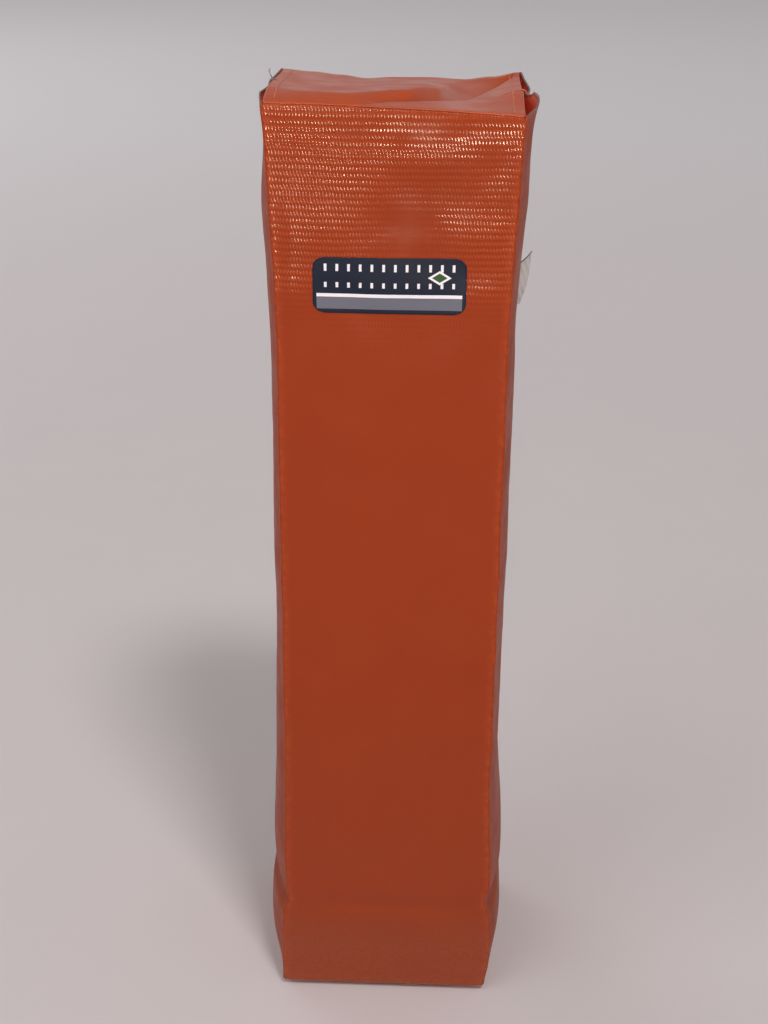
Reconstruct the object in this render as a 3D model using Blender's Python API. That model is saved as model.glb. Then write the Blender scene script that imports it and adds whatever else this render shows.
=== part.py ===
"""Football end zone pylon: a sewn vinyl cover over a foam core, weighted by a sand pouch.

Metres, +Z up. The origin is the middle of the base, the front faces -Y and the right side +X.
Each cover panel is one sheet of cloth whose edges are folded inside, so that two folds meet
along every seam. Shares across a panel run from left to right, or from front to back.
"""

import math

import bmesh
import bpy
from mathutils import Vector
from mathutils.bvhtree import BVHTree

# Driving dimensions of the column
HEIGHT = 0.4572
WAIST_WIDTH = 0.1016
DEPTH = 0.1016

# Cloth, and the clearance between pieces that touch
CLOTH = 0.0006
CLEARANCE = 0.0003
HEM = 0.008
FOLD_STEPS = 3
FOLD_RADIUS = (CLOTH + CLEARANCE) / 2
FOLD_THICKNESS = 2 * CLOTH + CLEARANCE
SEAM_INSET = FOLD_THICKNESS / 2 + (FOLD_THICKNESS + CLEARANCE) / math.sqrt(2)
TOP_EDGE_INSET = FOLD_THICKNESS + CLEARANCE + FOLD_THICKNESS / 2

# Outline of the column
BASE_RISE = 0.003
BASE_RISE_REACH = 0.012
FLARE_START_SHARE = 0.7655
FLARE_POWER = 1.5
TOP_FLARES = {
    ("left", "front"): 0.0047,
    ("right", "front"): 0.0036,
    ("left", "back"): 0.005,
    ("right", "back"): 0.0042,
}
EAR = 0.0006
EAR_HEIGHT = 0.014
SHOULDER = 0.0024
SHOULDER_HEIGHT = 0.02

# Corners of the foot: spread by the sand and pinched at the crease above it
CREASE_HEIGHT = 0.0545
CREASE_DEPTH = 0.0013
CREASE_SPREAD = 0.006
FOOT_WIDENING = 0.0036
FOOT_WIDENING_SHARES = {
    "left": ((0.0, 0.9), (0.55, 0.9), (0.88, 0.72), (1.02, -0.2), (1.2, 0.1), (1.45, 0.28), (2.4, 0.0)),
    "right": ((0.0, 0.3), (0.38, 0.85), (0.63, 1.0), (0.88, 0.65), (1.05, -0.1), (1.23, 0.6), (2.4, 0.0)),
}

# Swelling of the panels between their seams
CROWN_POWER = 2.6
FACE_BULGE = 0.0012
SIDE_BULGES = {"left": 0.0063, "right": 0.0046}
FOOT_BULGES = {"left": 0.0026, "right": 0.0018}
FOOT_BULGE_HEIGHT = 0.073
FOOT_BULGE_SPREADS = {"left": 0.075, "right": 0.037}
FOOT_OPENING_HEIGHTS = {"left": 0.023, "right": 0.029}
TOP_CLOSING_HEIGHT = 0.05

# Heights of the top seams above or below the nominal height
FRONT_SEAM_LIFTS = {"left": 0.0034, "right": -0.0006}
FRONT_SEAM_CROWN = 0.0008
BACK_SEAM_LIFTS = {"left": 0.0002, "right": 0.0002}
BACK_SEAM_SAG = 0.0037
BACK_SEAM_SAG_SHARES = (
    (0.0, 0.0),
    (0.12, 0.28),
    (0.24, 0.6),
    (0.35, 1.0),
    (0.47, 0.8),
    (0.62, 0.75),
    (0.77, 0.94),
    (0.89, 0.55),
    (1.0, 0.0),
)
SEAM_LIFT_REACH = 0.06

# Relief of the top panel: a crest with a rear slope behind it, and two folded lips
CREST_HEIGHT = 0.0036
CREST_LINE_SHARES = ((0.0, 0.22), (0.15, 0.14), (0.3, 0.12), (0.53, 0.25), (0.66, 0.47), (0.76, 0.9))
CREST_FADE_SHARES = (0.55, 0.8)
LIP_HEIGHT = 0.0022
LIP_FRONT_SPREAD = 0.014
LIP_BACK_SPREAD = 0.004
FRONT_LIP_SHARES = ((0.36, 0.03), (0.6, 0.16), (0.96, 0.36))
REAR_LIP_SHARES = ((0.74, 0.24), (0.93, 0.8))

# Mouths at the sides of the top, where the raw edge of the side panel stands open
TACK_SHARE = 0.48
FRONT_MOUTHS = {"left": 0.0027, "right": 0.0051}
REAR_MOUTHS = {"left": 0.001, "right": 0.0021}
MOUTH_HEIGHT = 0.03
RAW_EDGE_DROPS = {
    ("left", "front"): 0.0014,
    ("left", "back"): 0.0022,
    ("right", "front"): 0.0004,
    ("right", "back"): 0.003,
}
SIDE_HEM_STOP = 0.004

# Places of the columns and rows of cloth
ACROSS_SHARES = (0.0, 0.08, 0.22, 0.36, TACK_SHARE, 0.6, 0.76, 0.92, 1.0)
TOP_ALONG_SHARES = (0.0, 0.07, 0.16, 0.26, 0.38, 0.54, 0.72, 0.88, 1.0)
FOOT_ROW_SHARES = (0.0, 0.25, 0.6)
CREASE_ROW_SHARES = (-1.3, -0.55, 0.0, 0.55, 1.3)
BODY_ROW_SHARES = (0.06, 0.14, 0.26, 0.42, 0.6, 0.74, 0.83, 0.9, 0.95, 0.98)

# Foam core
FOAM_CHAMFER = 0.003
FOAM_TOP_GAP = 0.0086
FOAM_EDGE_ROUND = 0.006

# Sand pouch
POUCH_CLOTH = 0.0005
POUCH_SIDE_GAP = 0.0021
POUCH_FLANGE = 0.005
POUCH_SEAM_HEIGHT = 0.022
POUCH_CROWN_POWER = 6
POUCH_GRID_SHARES = (-1.0, -0.93, -0.82, -0.62, -0.3, 0.0, 0.3, 0.62, 0.82, 0.93, 1.0)
SAND_SIDE_GAP = 0.0018

# Thread
THREAD_RADIUS = 0.0003
STITCH_PITCH = 0.0035
HEM_STITCH_INSET = 0.004
TACK_BARS = {"left": 0.0012, "right": 0.0095}
TACK_BAR_SLANTS = {"left": 0.0004, "right": 0.006}
TACK_BAR_SHARES = (0.0, 0.25, 0.5, 0.8, 1.0)
TACK_DROP = 0.004
TAIL_LENGTH = 0.006
TAIL_LEAN = 0.0034
TAIL_SHARES = (1.0, 0.75, 0.5, 0.25)

# Front decal
DECAL_WIDTH = 0.066
DECAL_HEIGHT = 0.025
DECAL_FILM = 0.00015
DECAL_CENTRE_SHARE = 0.8403
DECAL_OFFSET = -0.0015
DECAL_ROUND_POWER = 7
DECAL_RING_SHARES = (0.4, 0.75, 1.0)
DECAL_CORNERS = 28

# Care label
LABEL_CLOTH = 0.0004
LABEL_HEIGHT = 0.021
LABEL_WIDTH = 0.015
LABEL_SEAM_INSET = 0.00075
LABEL_CENTRE_SHARE = 0.77
LABEL_TOP_ANGLE = math.radians(10)
LABEL_TWIST = math.radians(32)
LABEL_TOP_LIFT = 0.0085
LABEL_ACROSS_SHARES = (0.0, 0.3, 0.65, 1.0)
LABEL_ALONG_SHARES = (0.0, 0.25, 0.5, 0.75, 1.0)

# Plain finishes: colour, roughness
ORANGE_VINYL = ((0.62, 0.13, 0.045), 0.42)
FOAM_GREY = ((0.35, 0.35, 0.37), 0.9)
POUCH_CREAM = ((0.55, 0.52, 0.46), 0.8)
SAND = ((0.52, 0.42, 0.28), 0.95)
ORANGE_THREAD = ((0.48, 0.14, 0.06), 0.7)
PALE_THREAD = ((0.5, 0.4, 0.34), 0.7)
DECAL_NAVY = ((0.03, 0.06, 0.14), 0.45)
SATIN_WHITE = ((0.8, 0.79, 0.76), 0.4)

BACK = {"front": -1, "back": 1}
OUT = {"left": -1, "right": 1}


def clear_scene():
    """Remove every object that the file opened with."""
    for obj in list(bpy.data.objects):
        bpy.data.objects.remove(obj, do_unlink=True)


def lerp(low, high, share):
    """Value at a share of the way from low to high."""
    return low + (high - low) * share


def clamp(share):
    """Share held between 0 and 1."""
    return min(max(share, 0.0), 1.0)


def smooth(share):
    """Ease from 0 to 1 with level ends."""
    held = clamp(share)
    return held * held * (3 - 2 * held)


def bell(distance, spread):
    """Rounded bump of height 1 at distance 0."""
    return math.exp(-((distance / spread) ** 2))


def sign(value):
    """-1, 0 or 1, as the value is below, at or above 0."""
    return (value > 0) - (value < 0)


def crown(share, power=CROWN_POWER):
    """Swelling across a panel: 0 at both seams and 1 in the middle."""
    return 1 - abs(2 * clamp(share) - 1) ** power


def along_table(pairs, share):
    """Value read from pairs of (share, value), eased from one to the next."""
    if share <= pairs[0][0]:
        return pairs[0][1]
    for (low, low_value), (high, high_value) in zip(pairs, pairs[1:]):
        if share <= high:
            return lerp(low_value, high_value, smooth((share - low) / (high - low)))
    return pairs[-1][1]


def corner_half_width(side, face, z):
    """Distance of an upright seam from the middle plane between the sides."""
    spread = FOOT_WIDENING * along_table(FOOT_WIDENING_SHARES[side], z / CREASE_HEIGHT)
    rise = clamp((z / HEIGHT - FLARE_START_SHARE) / (1 - FLARE_START_SHARE))
    ear = EAR * clamp((z - (HEIGHT - EAR_HEIGHT)) / EAR_HEIGHT) ** 2
    return WAIST_WIDTH / 2 + spread + TOP_FLARES[side, face] * rise**FLARE_POWER + ear


def corner_half_depth(z):
    """Distance of an upright seam from the middle plane between front and back."""
    rise = clamp((z - (HEIGHT - SHOULDER_HEIGHT)) / SHOULDER_HEIGHT)
    return DEPTH / 2 - SHOULDER * rise**2


def crease(z):
    """Depth of the crease between the sand pouch and the foam."""
    return CREASE_DEPTH * bell(z - CREASE_HEIGHT, CREASE_SPREAD)


def face_reach(share, z):
    """Distance of the front or back panel's outer face from the middle plane."""
    swell = FACE_BULGE * smooth(z / CREASE_HEIGHT) - crease(z)
    return corner_half_depth(z) + swell * crown(share)


def side_swell(side, z):
    """Swelling of a side panel at mid depth."""
    foot = FOOT_BULGES[side] * bell(z - FOOT_BULGE_HEIGHT, FOOT_BULGE_SPREADS[side])
    opening = smooth((z - BASE_RISE) / FOOT_OPENING_HEIGHTS[side])
    closing = 1 - smooth((z - (HEIGHT - TOP_CLOSING_HEIGHT)) / TOP_CLOSING_HEIGHT)
    return (SIDE_BULGES[side] + foot) * opening * closing - crease(z)


def mouth(side, share):
    """How far the raw top edge of a side panel stands open."""
    if share <= TACK_SHARE:
        return FRONT_MOUTHS[side] * max(math.sin(math.pi * share / TACK_SHARE), 0.0)
    rear = (share - TACK_SHARE) / (1 - TACK_SHARE)
    return REAR_MOUTHS[side] * max(math.sin(math.pi * rear), 0.0)


def side_reach(side, share, z):
    """Distance of a side panel's outer face from the middle plane."""
    front = corner_half_width(side, "front", z)
    back = corner_half_width(side, "back", z)
    swell = side_swell(side, z) * crown(share)
    opened = mouth(side, share) * math.exp((z - HEIGHT) / MOUTH_HEIGHT)
    return lerp(front, back, share) + swell + opened


def raw_edge_lift(side, share):
    """Height of a side panel's raw top edge over the nominal height."""
    end = 0.0 if side == "left" else 1.0
    drop = lerp(RAW_EDGE_DROPS[side, "front"], RAW_EDGE_DROPS[side, "back"], smooth(share))
    return top_lift(end, share) - drop * crown(share)


def front_seam_lift(share):
    """Height of the top front seam over the nominal height."""
    slope = lerp(FRONT_SEAM_LIFTS["left"], FRONT_SEAM_LIFTS["right"], share)
    return slope + FRONT_SEAM_CROWN * crown(share)


def back_seam_lift(share):
    """Height of the top back seam over the nominal height."""
    slope = lerp(BACK_SEAM_LIFTS["left"], BACK_SEAM_LIFTS["right"], share)
    return slope - BACK_SEAM_SAG * along_table(BACK_SEAM_SAG_SHARES, share)


def lip(line_shares, across, along):
    """Height added by a folded lip, with a long front slope and a short back slope."""
    place = Vector((across * WAIST_WIDTH, along * DEPTH))
    nearest = None
    for start, end in zip(line_shares, line_shares[1:]):
        first = Vector((start[0] * WAIST_WIDTH, start[1] * DEPTH))
        run = Vector((end[0] * WAIST_WIDTH, end[1] * DEPTH)) - first
        reach = clamp((place - first).dot(run) / run.length_squared)
        offset = place - (first + run * reach)
        if nearest is None or offset.length < nearest.length:
            nearest = offset
            behind = run.x * offset.y - run.y * offset.x > 0
    spread = LIP_BACK_SPREAD if behind else LIP_FRONT_SPREAD
    return LIP_HEIGHT * bell(nearest.length, spread)


def top_lift(across, along):
    """Height of the top panel's outer face over the nominal height."""
    level = lerp(front_seam_lift(across), back_seam_lift(across), along)
    crest = along_table(CREST_LINE_SHARES, across)
    climb = along / crest if along < crest else (1 - along) / (1 - crest)
    fade = 1 - smooth((across - CREST_FADE_SHARES[0]) / (CREST_FADE_SHARES[1] - CREST_FADE_SHARES[0]))
    edges = smooth(min(along, 1 - along) / ACROSS_SHARES[1])
    folds = lip(FRONT_LIP_SHARES, across, along) + lip(REAR_LIP_SHARES, across, along)
    return level + CREST_HEIGHT * smooth(climb) * fade * crown(across) + folds * edges


def base_half_widths():
    """Half widths of the base on the left and on the right."""
    return tuple(corner_half_width(side, "front", BASE_RISE) for side in OUT)


def base_lift(x, y):
    """Height of the bottom panel's outer face: flat, and raised along its edges."""
    left, right = base_half_widths()
    near = min(left + x, right - x, DEPTH / 2 - abs(y))
    return BASE_RISE * (1 - smooth(near / BASE_RISE_REACH))


def row_heights():
    """Heights of the cloth's rows from the bottom fold to the top fold."""
    low = BASE_RISE + SEAM_INSET
    high = HEIGHT - SEAM_INSET
    crease_rows = [CREASE_HEIGHT + share * CREASE_SPREAD for share in CREASE_ROW_SHARES]
    foot_rows = [lerp(low, crease_rows[0], share) for share in FOOT_ROW_SHARES]
    body_rows = [lerp(crease_rows[-1], high, share) for share in BODY_ROW_SHARES]
    return foot_rows + crease_rows + body_rows + [high]


def lifted(z, lift):
    """Height of a row, moved with the seam above it near the top."""
    return z + lift * smooth((z - (HEIGHT - SEAM_LIFT_REACH)) / SEAM_LIFT_REACH)


def fold(past):
    """Slide beyond a fold's centre line and depth under the panel, a way past that line."""
    angle = past / FOLD_RADIUS
    if angle <= math.pi:
        return FOLD_RADIUS * math.sin(angle), FOLD_RADIUS * (1 - math.cos(angle))
    return math.pi * FOLD_RADIUS - past, 2 * FOLD_RADIUS


def hem_past(step, room):
    """Way past the fold's centre line at a hem station; the flap is mitred near a corner."""
    if step <= FOLD_STEPS:
        return math.pi * FOLD_RADIUS * step / FOLD_STEPS
    return math.pi * FOLD_RADIUS + min(HEM, room - CLEARANCE)


def stations(count, low_hem, high_hem):
    """Cloth stations as (index on the panel, hem step); the step is negative at the low end."""
    hem_steps = range(FOLD_STEPS + 1, 0, -1)
    low = [(0, -step) for step in hem_steps] if low_hem else []
    high = [(count - 1, step) for step in reversed(hem_steps)] if high_hem else []
    return low + [(index, 0) for index in range(count)] + high


def make_material(name, finish):
    """Plain Principled material from a colour and a roughness."""
    colour, roughness = finish
    material = bpy.data.materials.new(name)
    material.use_nodes = True
    shader = material.node_tree.nodes["Principled BSDF"]
    shader.inputs["Base Color"].default_value = (*colour, 1.0)
    shader.inputs["Roughness"].default_value = roughness
    return material


def add_object(name, data, finish):
    """Link an object with its own material."""
    data.materials.append(make_material(name + "_finish", finish))
    obj = bpy.data.objects.new(name, data)
    bpy.context.collection.objects.link(obj)
    return obj


def add_sheet(name, points, finish, thickness):
    """Sheet of cloth from a grid of points; a missing point leaves a notch."""
    mesh = bmesh.new()
    made = {key: mesh.verts.new(point) for key, point in points.items()}
    for i, j in points:
        corners = [(i, j), (i + 1, j), (i + 1, j + 1), (i, j + 1)]
        if all(corner in made for corner in corners):
            mesh.faces.new([made[corner] for corner in corners])
    data = bpy.data.meshes.new(name)
    mesh.to_mesh(data)
    mesh.free()
    obj = add_object(name, data, finish)
    cloth = obj.modifiers.new("cloth", "SOLIDIFY")
    cloth.thickness = thickness
    cloth.offset = 0
    cloth.use_even_offset = True
    obj.modifiers.new("flat facets", "TRIANGULATE").quad_method = "SHORTEST_DIAGONAL"
    return obj


def hem_room(heights, index, stop):
    """Room for a hem's flap beside a row, up to the next corner."""
    return min(heights[index] - heights[0], stop - heights[index])


def cloth_points(columns, rows, place, across_room, along_room):
    """Grid of cloth points; two hems never cross, and a flap with no room is left out."""
    points = {}
    for i, (column, across_step) in enumerate(columns):
        for j, (row, along_step) in enumerate(rows):
            if across_step and along_step:
                continue
            room = across_room(row) if across_step else along_room(column)
            step = abs(across_step or along_step)
            if step > FOLD_STEPS and room <= 2 * CLEARANCE:
                continue
            slide, depth = fold(hem_past(step, room))
            across_slide = slide * sign(across_step)
            along_slide = slide * sign(along_step)
            points[i, j] = place(column, row, across_slide, along_slide, depth + CLOTH / 2)
    return points


def face_half(side, face, z):
    """Fold centre line of a front or back panel at one side."""
    return OUT[side] * (corner_half_width(side, face, z) - SEAM_INSET)


def add_face_panel(name, face, seam_lift):
    """Front or back panel with a hem along all four edges."""
    heights = row_heights()
    width = WAIST_WIDTH - 2 * SEAM_INSET

    def place(column, row, across_slide, along_slide, depth):
        share = ACROSS_SHARES[column]
        z = lifted(heights[row], seam_lift(share)) + along_slide
        left = face_half("left", face, z)
        right = face_half("right", face, z)
        x = lerp(left, right, share) + across_slide
        slid = (x - left) / (right - left)
        return Vector((x, BACK[face] * (face_reach(slid, z) - depth), z))

    def across_room(row):
        return hem_room(heights, row, heights[-1])

    def along_room(column):
        share = ACROSS_SHARES[column]
        return width * min(share, 1 - share)

    columns = stations(len(ACROSS_SHARES), True, True)
    rows = stations(len(heights), True, True)
    points = cloth_points(columns, rows, place, across_room, along_room)
    return add_sheet(name, points, ORANGE_VINYL, CLOTH)


def add_side_panel(name, side):
    """Side panel: hems at the upright seams and the bottom, and a raw edge at the top."""
    heights = row_heights() + [HEIGHT]

    def place(column, row, across_slide, along_slide, depth):
        share = ACROSS_SHARES[column]
        z = lifted(heights[row], raw_edge_lift(side, share)) + along_slide
        reach = corner_half_depth(z) - SEAM_INSET
        y = lerp(-reach, reach, share) + across_slide
        slid = (y + reach) / (2 * reach)
        return Vector((OUT[side] * (side_reach(side, slid, z) - depth), y, z))

    def across_room(row):
        return hem_room(heights, row, HEIGHT - SIDE_HEM_STOP)

    def along_room(column):
        share = ACROSS_SHARES[column]
        return (DEPTH - 2 * SEAM_INSET) * min(share, 1 - share)

    columns = stations(len(ACROSS_SHARES), True, True)
    rows = stations(len(heights), True, False)
    points = cloth_points(columns, rows, place, across_room, along_room)
    return add_sheet(name, points, ORANGE_VINYL, CLOTH)


def top_edge(side, along):
    """Fold centre line of the top panel at one side."""
    front = corner_half_width(side, "front", HEIGHT)
    back = corner_half_width(side, "back", HEIGHT)
    return OUT[side] * (lerp(front, back, along) - TOP_EDGE_INSET)


def top_place(across, along):
    """Point on the top panel's outer face at a share across and a share back."""
    reach = corner_half_depth(HEIGHT) - SEAM_INSET
    x = lerp(top_edge("left", along), top_edge("right", along), across)
    return Vector((x, lerp(-reach, reach, along), HEIGHT + top_lift(across, along)))


def add_top_panel():
    """Top panel: sewn at front and back, with free hemmed edges at the sides."""

    def place(column, row, across_slide, along_slide, depth):
        width = WAIST_WIDTH - 2 * SEAM_INSET
        length = DEPTH - 2 * SEAM_INSET
        across = ACROSS_SHARES[column] + across_slide / width
        along = TOP_ALONG_SHARES[row] + along_slide / length
        return top_place(across, along) - Vector((0, 0, depth))

    def across_room(row):
        share = TOP_ALONG_SHARES[row]
        return DEPTH * min(share, 1 - share)

    def along_room(column):
        share = ACROSS_SHARES[column]
        return WAIST_WIDTH * min(share, 1 - share)

    columns = stations(len(ACROSS_SHARES), True, True)
    rows = stations(len(TOP_ALONG_SHARES), True, True)
    points = cloth_points(columns, rows, place, across_room, along_room)
    return add_sheet("top_panel", points, ORANGE_VINYL, CLOTH)


def add_bottom_panel():
    """Base panel with a hem along all four edges."""
    left, right = base_half_widths()
    half_depth = DEPTH / 2 - SEAM_INSET

    def place(column, row, across_slide, along_slide, depth):
        x = lerp(SEAM_INSET - left, right - SEAM_INSET, ACROSS_SHARES[column]) + across_slide
        y = lerp(-half_depth, half_depth, ACROSS_SHARES[row]) + along_slide
        return Vector((x, y, base_lift(x, y) + depth))

    def room(index):
        share = ACROSS_SHARES[index]
        return 2 * half_depth * min(share, 1 - share)

    edges = stations(len(ACROSS_SHARES), True, True)
    points = cloth_points(edges, edges, place, room, room)
    return add_sheet("bottom_panel", points, ORANGE_VINYL, CLOTH)


def add_ring_solid(name, rings, finish):
    """Closed solid through rings of points, lowest first, with flat ends."""
    mesh = bmesh.new()
    loops = [[mesh.verts.new(point) for point in ring] for ring in rings]
    for lower, upper in zip(loops, loops[1:]):
        count = len(lower)
        for k in range(count):
            after = (k + 1) % count
            mesh.faces.new([lower[k], lower[after], upper[after], upper[k]])
    mesh.faces.new(list(reversed(loops[0])))
    mesh.faces.new(loops[-1])
    data = bpy.data.meshes.new(name)
    mesh.to_mesh(data)
    mesh.free()
    return add_object(name, data, finish)


def foam_ring(z, inset):
    """Outline of the foam at one height, anticlockwise from the front left corner."""
    ring = []
    reach = corner_half_depth(z)
    inner = [share for share in ACROSS_SHARES if 0 < share < 1]
    for face, shares in (("front", inner), ("right", inner), ("back", inner[::-1]), ("left", inner[::-1])):
        if face in BACK:
            left = -corner_half_width("left", face, z) + inset
            right = corner_half_width("right", face, z) - inset
            ends = (left + FOAM_CHAMFER, right - FOAM_CHAMFER)
            places = [lerp(left, right, share) for share in shares]
            walk = [ends[0], *places, ends[1]] if face == "front" else [ends[1], *places, ends[0]]
            for x in walk:
                share = (x - left) / (right - left)
                ring.append(Vector((x, BACK[face] * (face_reach(share, z) - inset), z)))
        else:
            low = -reach + inset
            places = [lerp(low, -low, share) for share in shares]
            ends = (low + FOAM_CHAMFER, -low - FOAM_CHAMFER)
            walk = [ends[0], *places, ends[1]] if face == "right" else [ends[1], *places, ends[0]]
            for y in walk:
                share = (y - low) / (-2 * low)
                ring.append(Vector((OUT[face] * (side_reach(face, share, z) - inset), y, z)))
    return ring


def add_foam():
    """Foam block between the sand pouch and the top panel."""
    low = pouch_top() + CLEARANCE
    high = HEIGHT - FOAM_TOP_GAP
    inset = FOLD_THICKNESS + 2 * CLEARANCE
    heights = [z for z in row_heights() if low < z < high - FOAM_EDGE_ROUND]
    rings = [foam_ring(z, inset) for z in [low, *heights, high - FOAM_EDGE_ROUND]]
    rings.append(foam_ring(high, inset + FOAM_EDGE_ROUND / 2))
    for point in rings[-1]:
        point.z = high
    return add_ring_solid("foam_core", rings, FOAM_GREY)


def pouch_half_sizes():
    """Half width and half depth of the pouch inside its flange."""
    room = FOLD_THICKNESS + POUCH_SIDE_GAP + POUCH_FLANGE
    return WAIST_WIDTH / 2 - room, DEPTH / 2 - room


def pouch_swell(across, along):
    """Share of the pouch's full height at a place from -1 to 1 across and along."""
    across_part = max(1 - abs(across) ** POUCH_CROWN_POWER, 0.0)
    return across_part * max(1 - abs(along) ** POUCH_CROWN_POWER, 0.0)


def pouch_lift():
    """Half the distance between the middles of the two flange layers."""
    return (POUCH_CLOTH + CLEARANCE) / 2


def pouch_drop():
    """Height of the lower cloth's middle below its flange."""
    return POUCH_SEAM_HEIGHT - pouch_lift() - (CLOTH + CLEARANCE + POUCH_CLOTH / 2)


def pouch_climb():
    """Height of the upper cloth's middle above its flange."""
    return CREASE_HEIGHT - POUCH_SEAM_HEIGHT


def pouch_top():
    """Highest point of the pouch."""
    return POUCH_SEAM_HEIGHT + pouch_lift() + pouch_climb() + POUCH_CLOTH / 2


def add_pouch_sheet(name, way):
    """One cloth of the pouch: a shallow pillow half with a flat flange round it."""
    half_width, half_depth = pouch_half_sizes()
    height = pouch_climb() if way > 0 else pouch_drop()
    wide = 1 + POUCH_FLANGE / half_width
    deep = 1 + POUCH_FLANGE / half_depth
    points = {}
    for i, across in enumerate([-wide, *POUCH_GRID_SHARES, wide]):
        for j, along in enumerate([-deep, *POUCH_GRID_SHARES, deep]):
            z = POUCH_SEAM_HEIGHT + way * (pouch_lift() + height * pouch_swell(across, along))
            points[i, j] = Vector((across * half_width, along * half_depth, z))
    return add_sheet(name, points, POUCH_CREAM, POUCH_CLOTH)


def add_sand():
    """Sand inside the pouch."""
    half_width, half_depth = pouch_half_sizes()
    gap = POUCH_CLOTH / 2 + CLEARANCE
    mesh = bmesh.new()
    skins = []
    for way, height in ((1, pouch_climb() + pouch_lift() - gap), (-1, pouch_drop() + pouch_lift() - gap)):
        skin = {}
        for i, across in enumerate(POUCH_GRID_SHARES):
            for j, along in enumerate(POUCH_GRID_SHARES):
                rim = abs(across) == 1 or abs(along) == 1
                if rim and skins:
                    skin[i, j] = skins[0][i, j]
                    continue
                swell = 0.0 if rim else way * height * pouch_swell(across, along)
                x = across * (half_width - SAND_SIDE_GAP)
                y = along * (half_depth - SAND_SIDE_GAP)
                skin[i, j] = mesh.verts.new(Vector((x, y, POUCH_SEAM_HEIGHT + swell)))
        skins.append(skin)
        for i in range(len(POUCH_GRID_SHARES) - 1):
            for j in range(len(POUCH_GRID_SHARES) - 1):
                corners = [skin[i, j], skin[i + 1, j], skin[i + 1, j + 1], skin[i, j + 1]]
                mesh.faces.new(corners if way > 0 else corners[::-1])
    data = bpy.data.meshes.new("sand_fill")
    mesh.to_mesh(data)
    mesh.free()
    return add_object("sand_fill", data, SAND)


def add_thread(name, points, finish, cyclic=False):
    """Thread as a thin tube along a list of points."""
    curve = bpy.data.curves.new(name, "CURVE")
    curve.dimensions = "3D"
    curve.bevel_depth = THREAD_RADIUS
    curve.bevel_resolution = 0
    curve.use_fill_caps = True
    spline = curve.splines.new("POLY")
    spline.points.add(len(points) - 1)
    spline.use_cyclic_u = cyclic
    for place, point in zip(spline.points, points):
        place.co = (*point, 1.0)
    return add_object(name, curve, finish)


def thread_inset():
    """Distance of a seam's thread from the outer faces of both panels."""
    return FOLD_THICKNESS + CLEARANCE + THREAD_RADIUS


def add_upright_threads():
    """Threads of the four upright seams, inside the folds."""
    inset = thread_inset()
    low = BASE_RISE + inset + 2 * THREAD_RADIUS + CLEARANCE
    heights = [low] + [z for z in row_heights() if low < z < HEIGHT - SIDE_HEM_STOP - inset]
    for face, back in BACK.items():
        for side, out in OUT.items():
            points = []
            for z in heights:
                x = out * (corner_half_width(side, face, z) - inset)
                points.append(Vector((x, back * (corner_half_depth(z) - inset), z)))
            add_thread("seam_thread_" + face + "_" + side, points, ORANGE_THREAD)


def add_top_seam_threads():
    """Threads of the two seams that join the top panel."""
    inset = thread_inset()
    for face, seam_lift in (("front", front_seam_lift), ("back", back_seam_lift)):
        points = []
        left = face_half("left", face, HEIGHT)
        right = face_half("right", face, HEIGHT)
        for share in ACROSS_SHARES[1:-1]:
            z = HEIGHT + seam_lift(share)
            y = corner_half_depth(z) - inset
            points.append(Vector((lerp(left, right, share), BACK[face] * y, z - inset)))
        add_thread("seam_thread_top_" + face, points, ORANGE_THREAD)


def add_bottom_seam_thread():
    """Thread round the base panel."""
    inset = thread_inset()
    left, right = base_half_widths()
    y = DEPTH / 2 - inset
    z = BASE_RISE + inset
    corners = [(inset - left, -y), (right - inset, -y), (right - inset, y), (inset - left, y)]
    points = []
    for (x0, y0), (x1, y1) in zip(corners, corners[1:] + corners[:1]):
        for share in (HEM / WAIST_WIDTH, 1 - HEM / WAIST_WIDTH):
            points.append(Vector((lerp(x0, x1, share), lerp(y0, y1, share), z)))
    add_thread("seam_thread_bottom", points, ORANGE_THREAD, cyclic=True)


def add_pouch_thread():
    """Thread round the pouch, on top of its flange."""
    half_width, half_depth = pouch_half_sizes()
    x = half_width + POUCH_FLANGE / 2
    y = half_depth + POUCH_FLANGE / 2
    z = POUCH_SEAM_HEIGHT + pouch_lift() + POUCH_CLOTH / 2 + CLEARANCE + THREAD_RADIUS
    corners = [(-x, -y), (x, -y), (x, y), (-x, y)]
    add_thread("sand_pouch_thread", [Vector((*corner, z)) for corner in corners], PALE_THREAD, True)


def surface_finder(obj):
    """Search tree of an object's finished surface."""
    bpy.context.view_layer.update()
    finished = obj.evaluated_get(bpy.context.evaluated_depsgraph_get())
    mesh = finished.to_mesh()
    vertices = [vertex.co.copy() for vertex in mesh.vertices]
    faces = [tuple(polygon.vertices) for polygon in mesh.polygons]
    finished.to_mesh_clear()
    return BVHTree.FromPolygons(vertices, faces)


def on_top(tree, x, y):
    """Middle of a thread that lies on the top panel at a place, clear of the folds beside it."""
    down = Vector((0, 0, -1))
    beside = [y + share * STITCH_PITCH for share in (-1 / 2, 0, 1 / 2)]
    hits = [tree.ray_cast(Vector((x, near, 2 * HEIGHT)), down)[0] for near in beside]
    return Vector((x, y, max(hit.z for hit in hits if hit) + CLEARANCE + THREAD_RADIUS))


def add_hem_threads(tree):
    """Rows of stitches that hold the side hems of the top panel."""
    reach = corner_half_depth(HEIGHT) - SEAM_INSET - HEM_STITCH_INSET
    count = round(2 * reach / STITCH_PITCH)
    for side, out in OUT.items():
        points = []
        for k in range(count + 1):
            y = lerp(-reach, reach, k / count)
            along = (y / (corner_half_depth(HEIGHT) - SEAM_INSET) + 1) / 2
            points.append(on_top(tree, top_edge(side, along) - out * HEM_STITCH_INSET, y))
        add_thread("hem_thread_" + side, points, ORANGE_THREAD)


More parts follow.
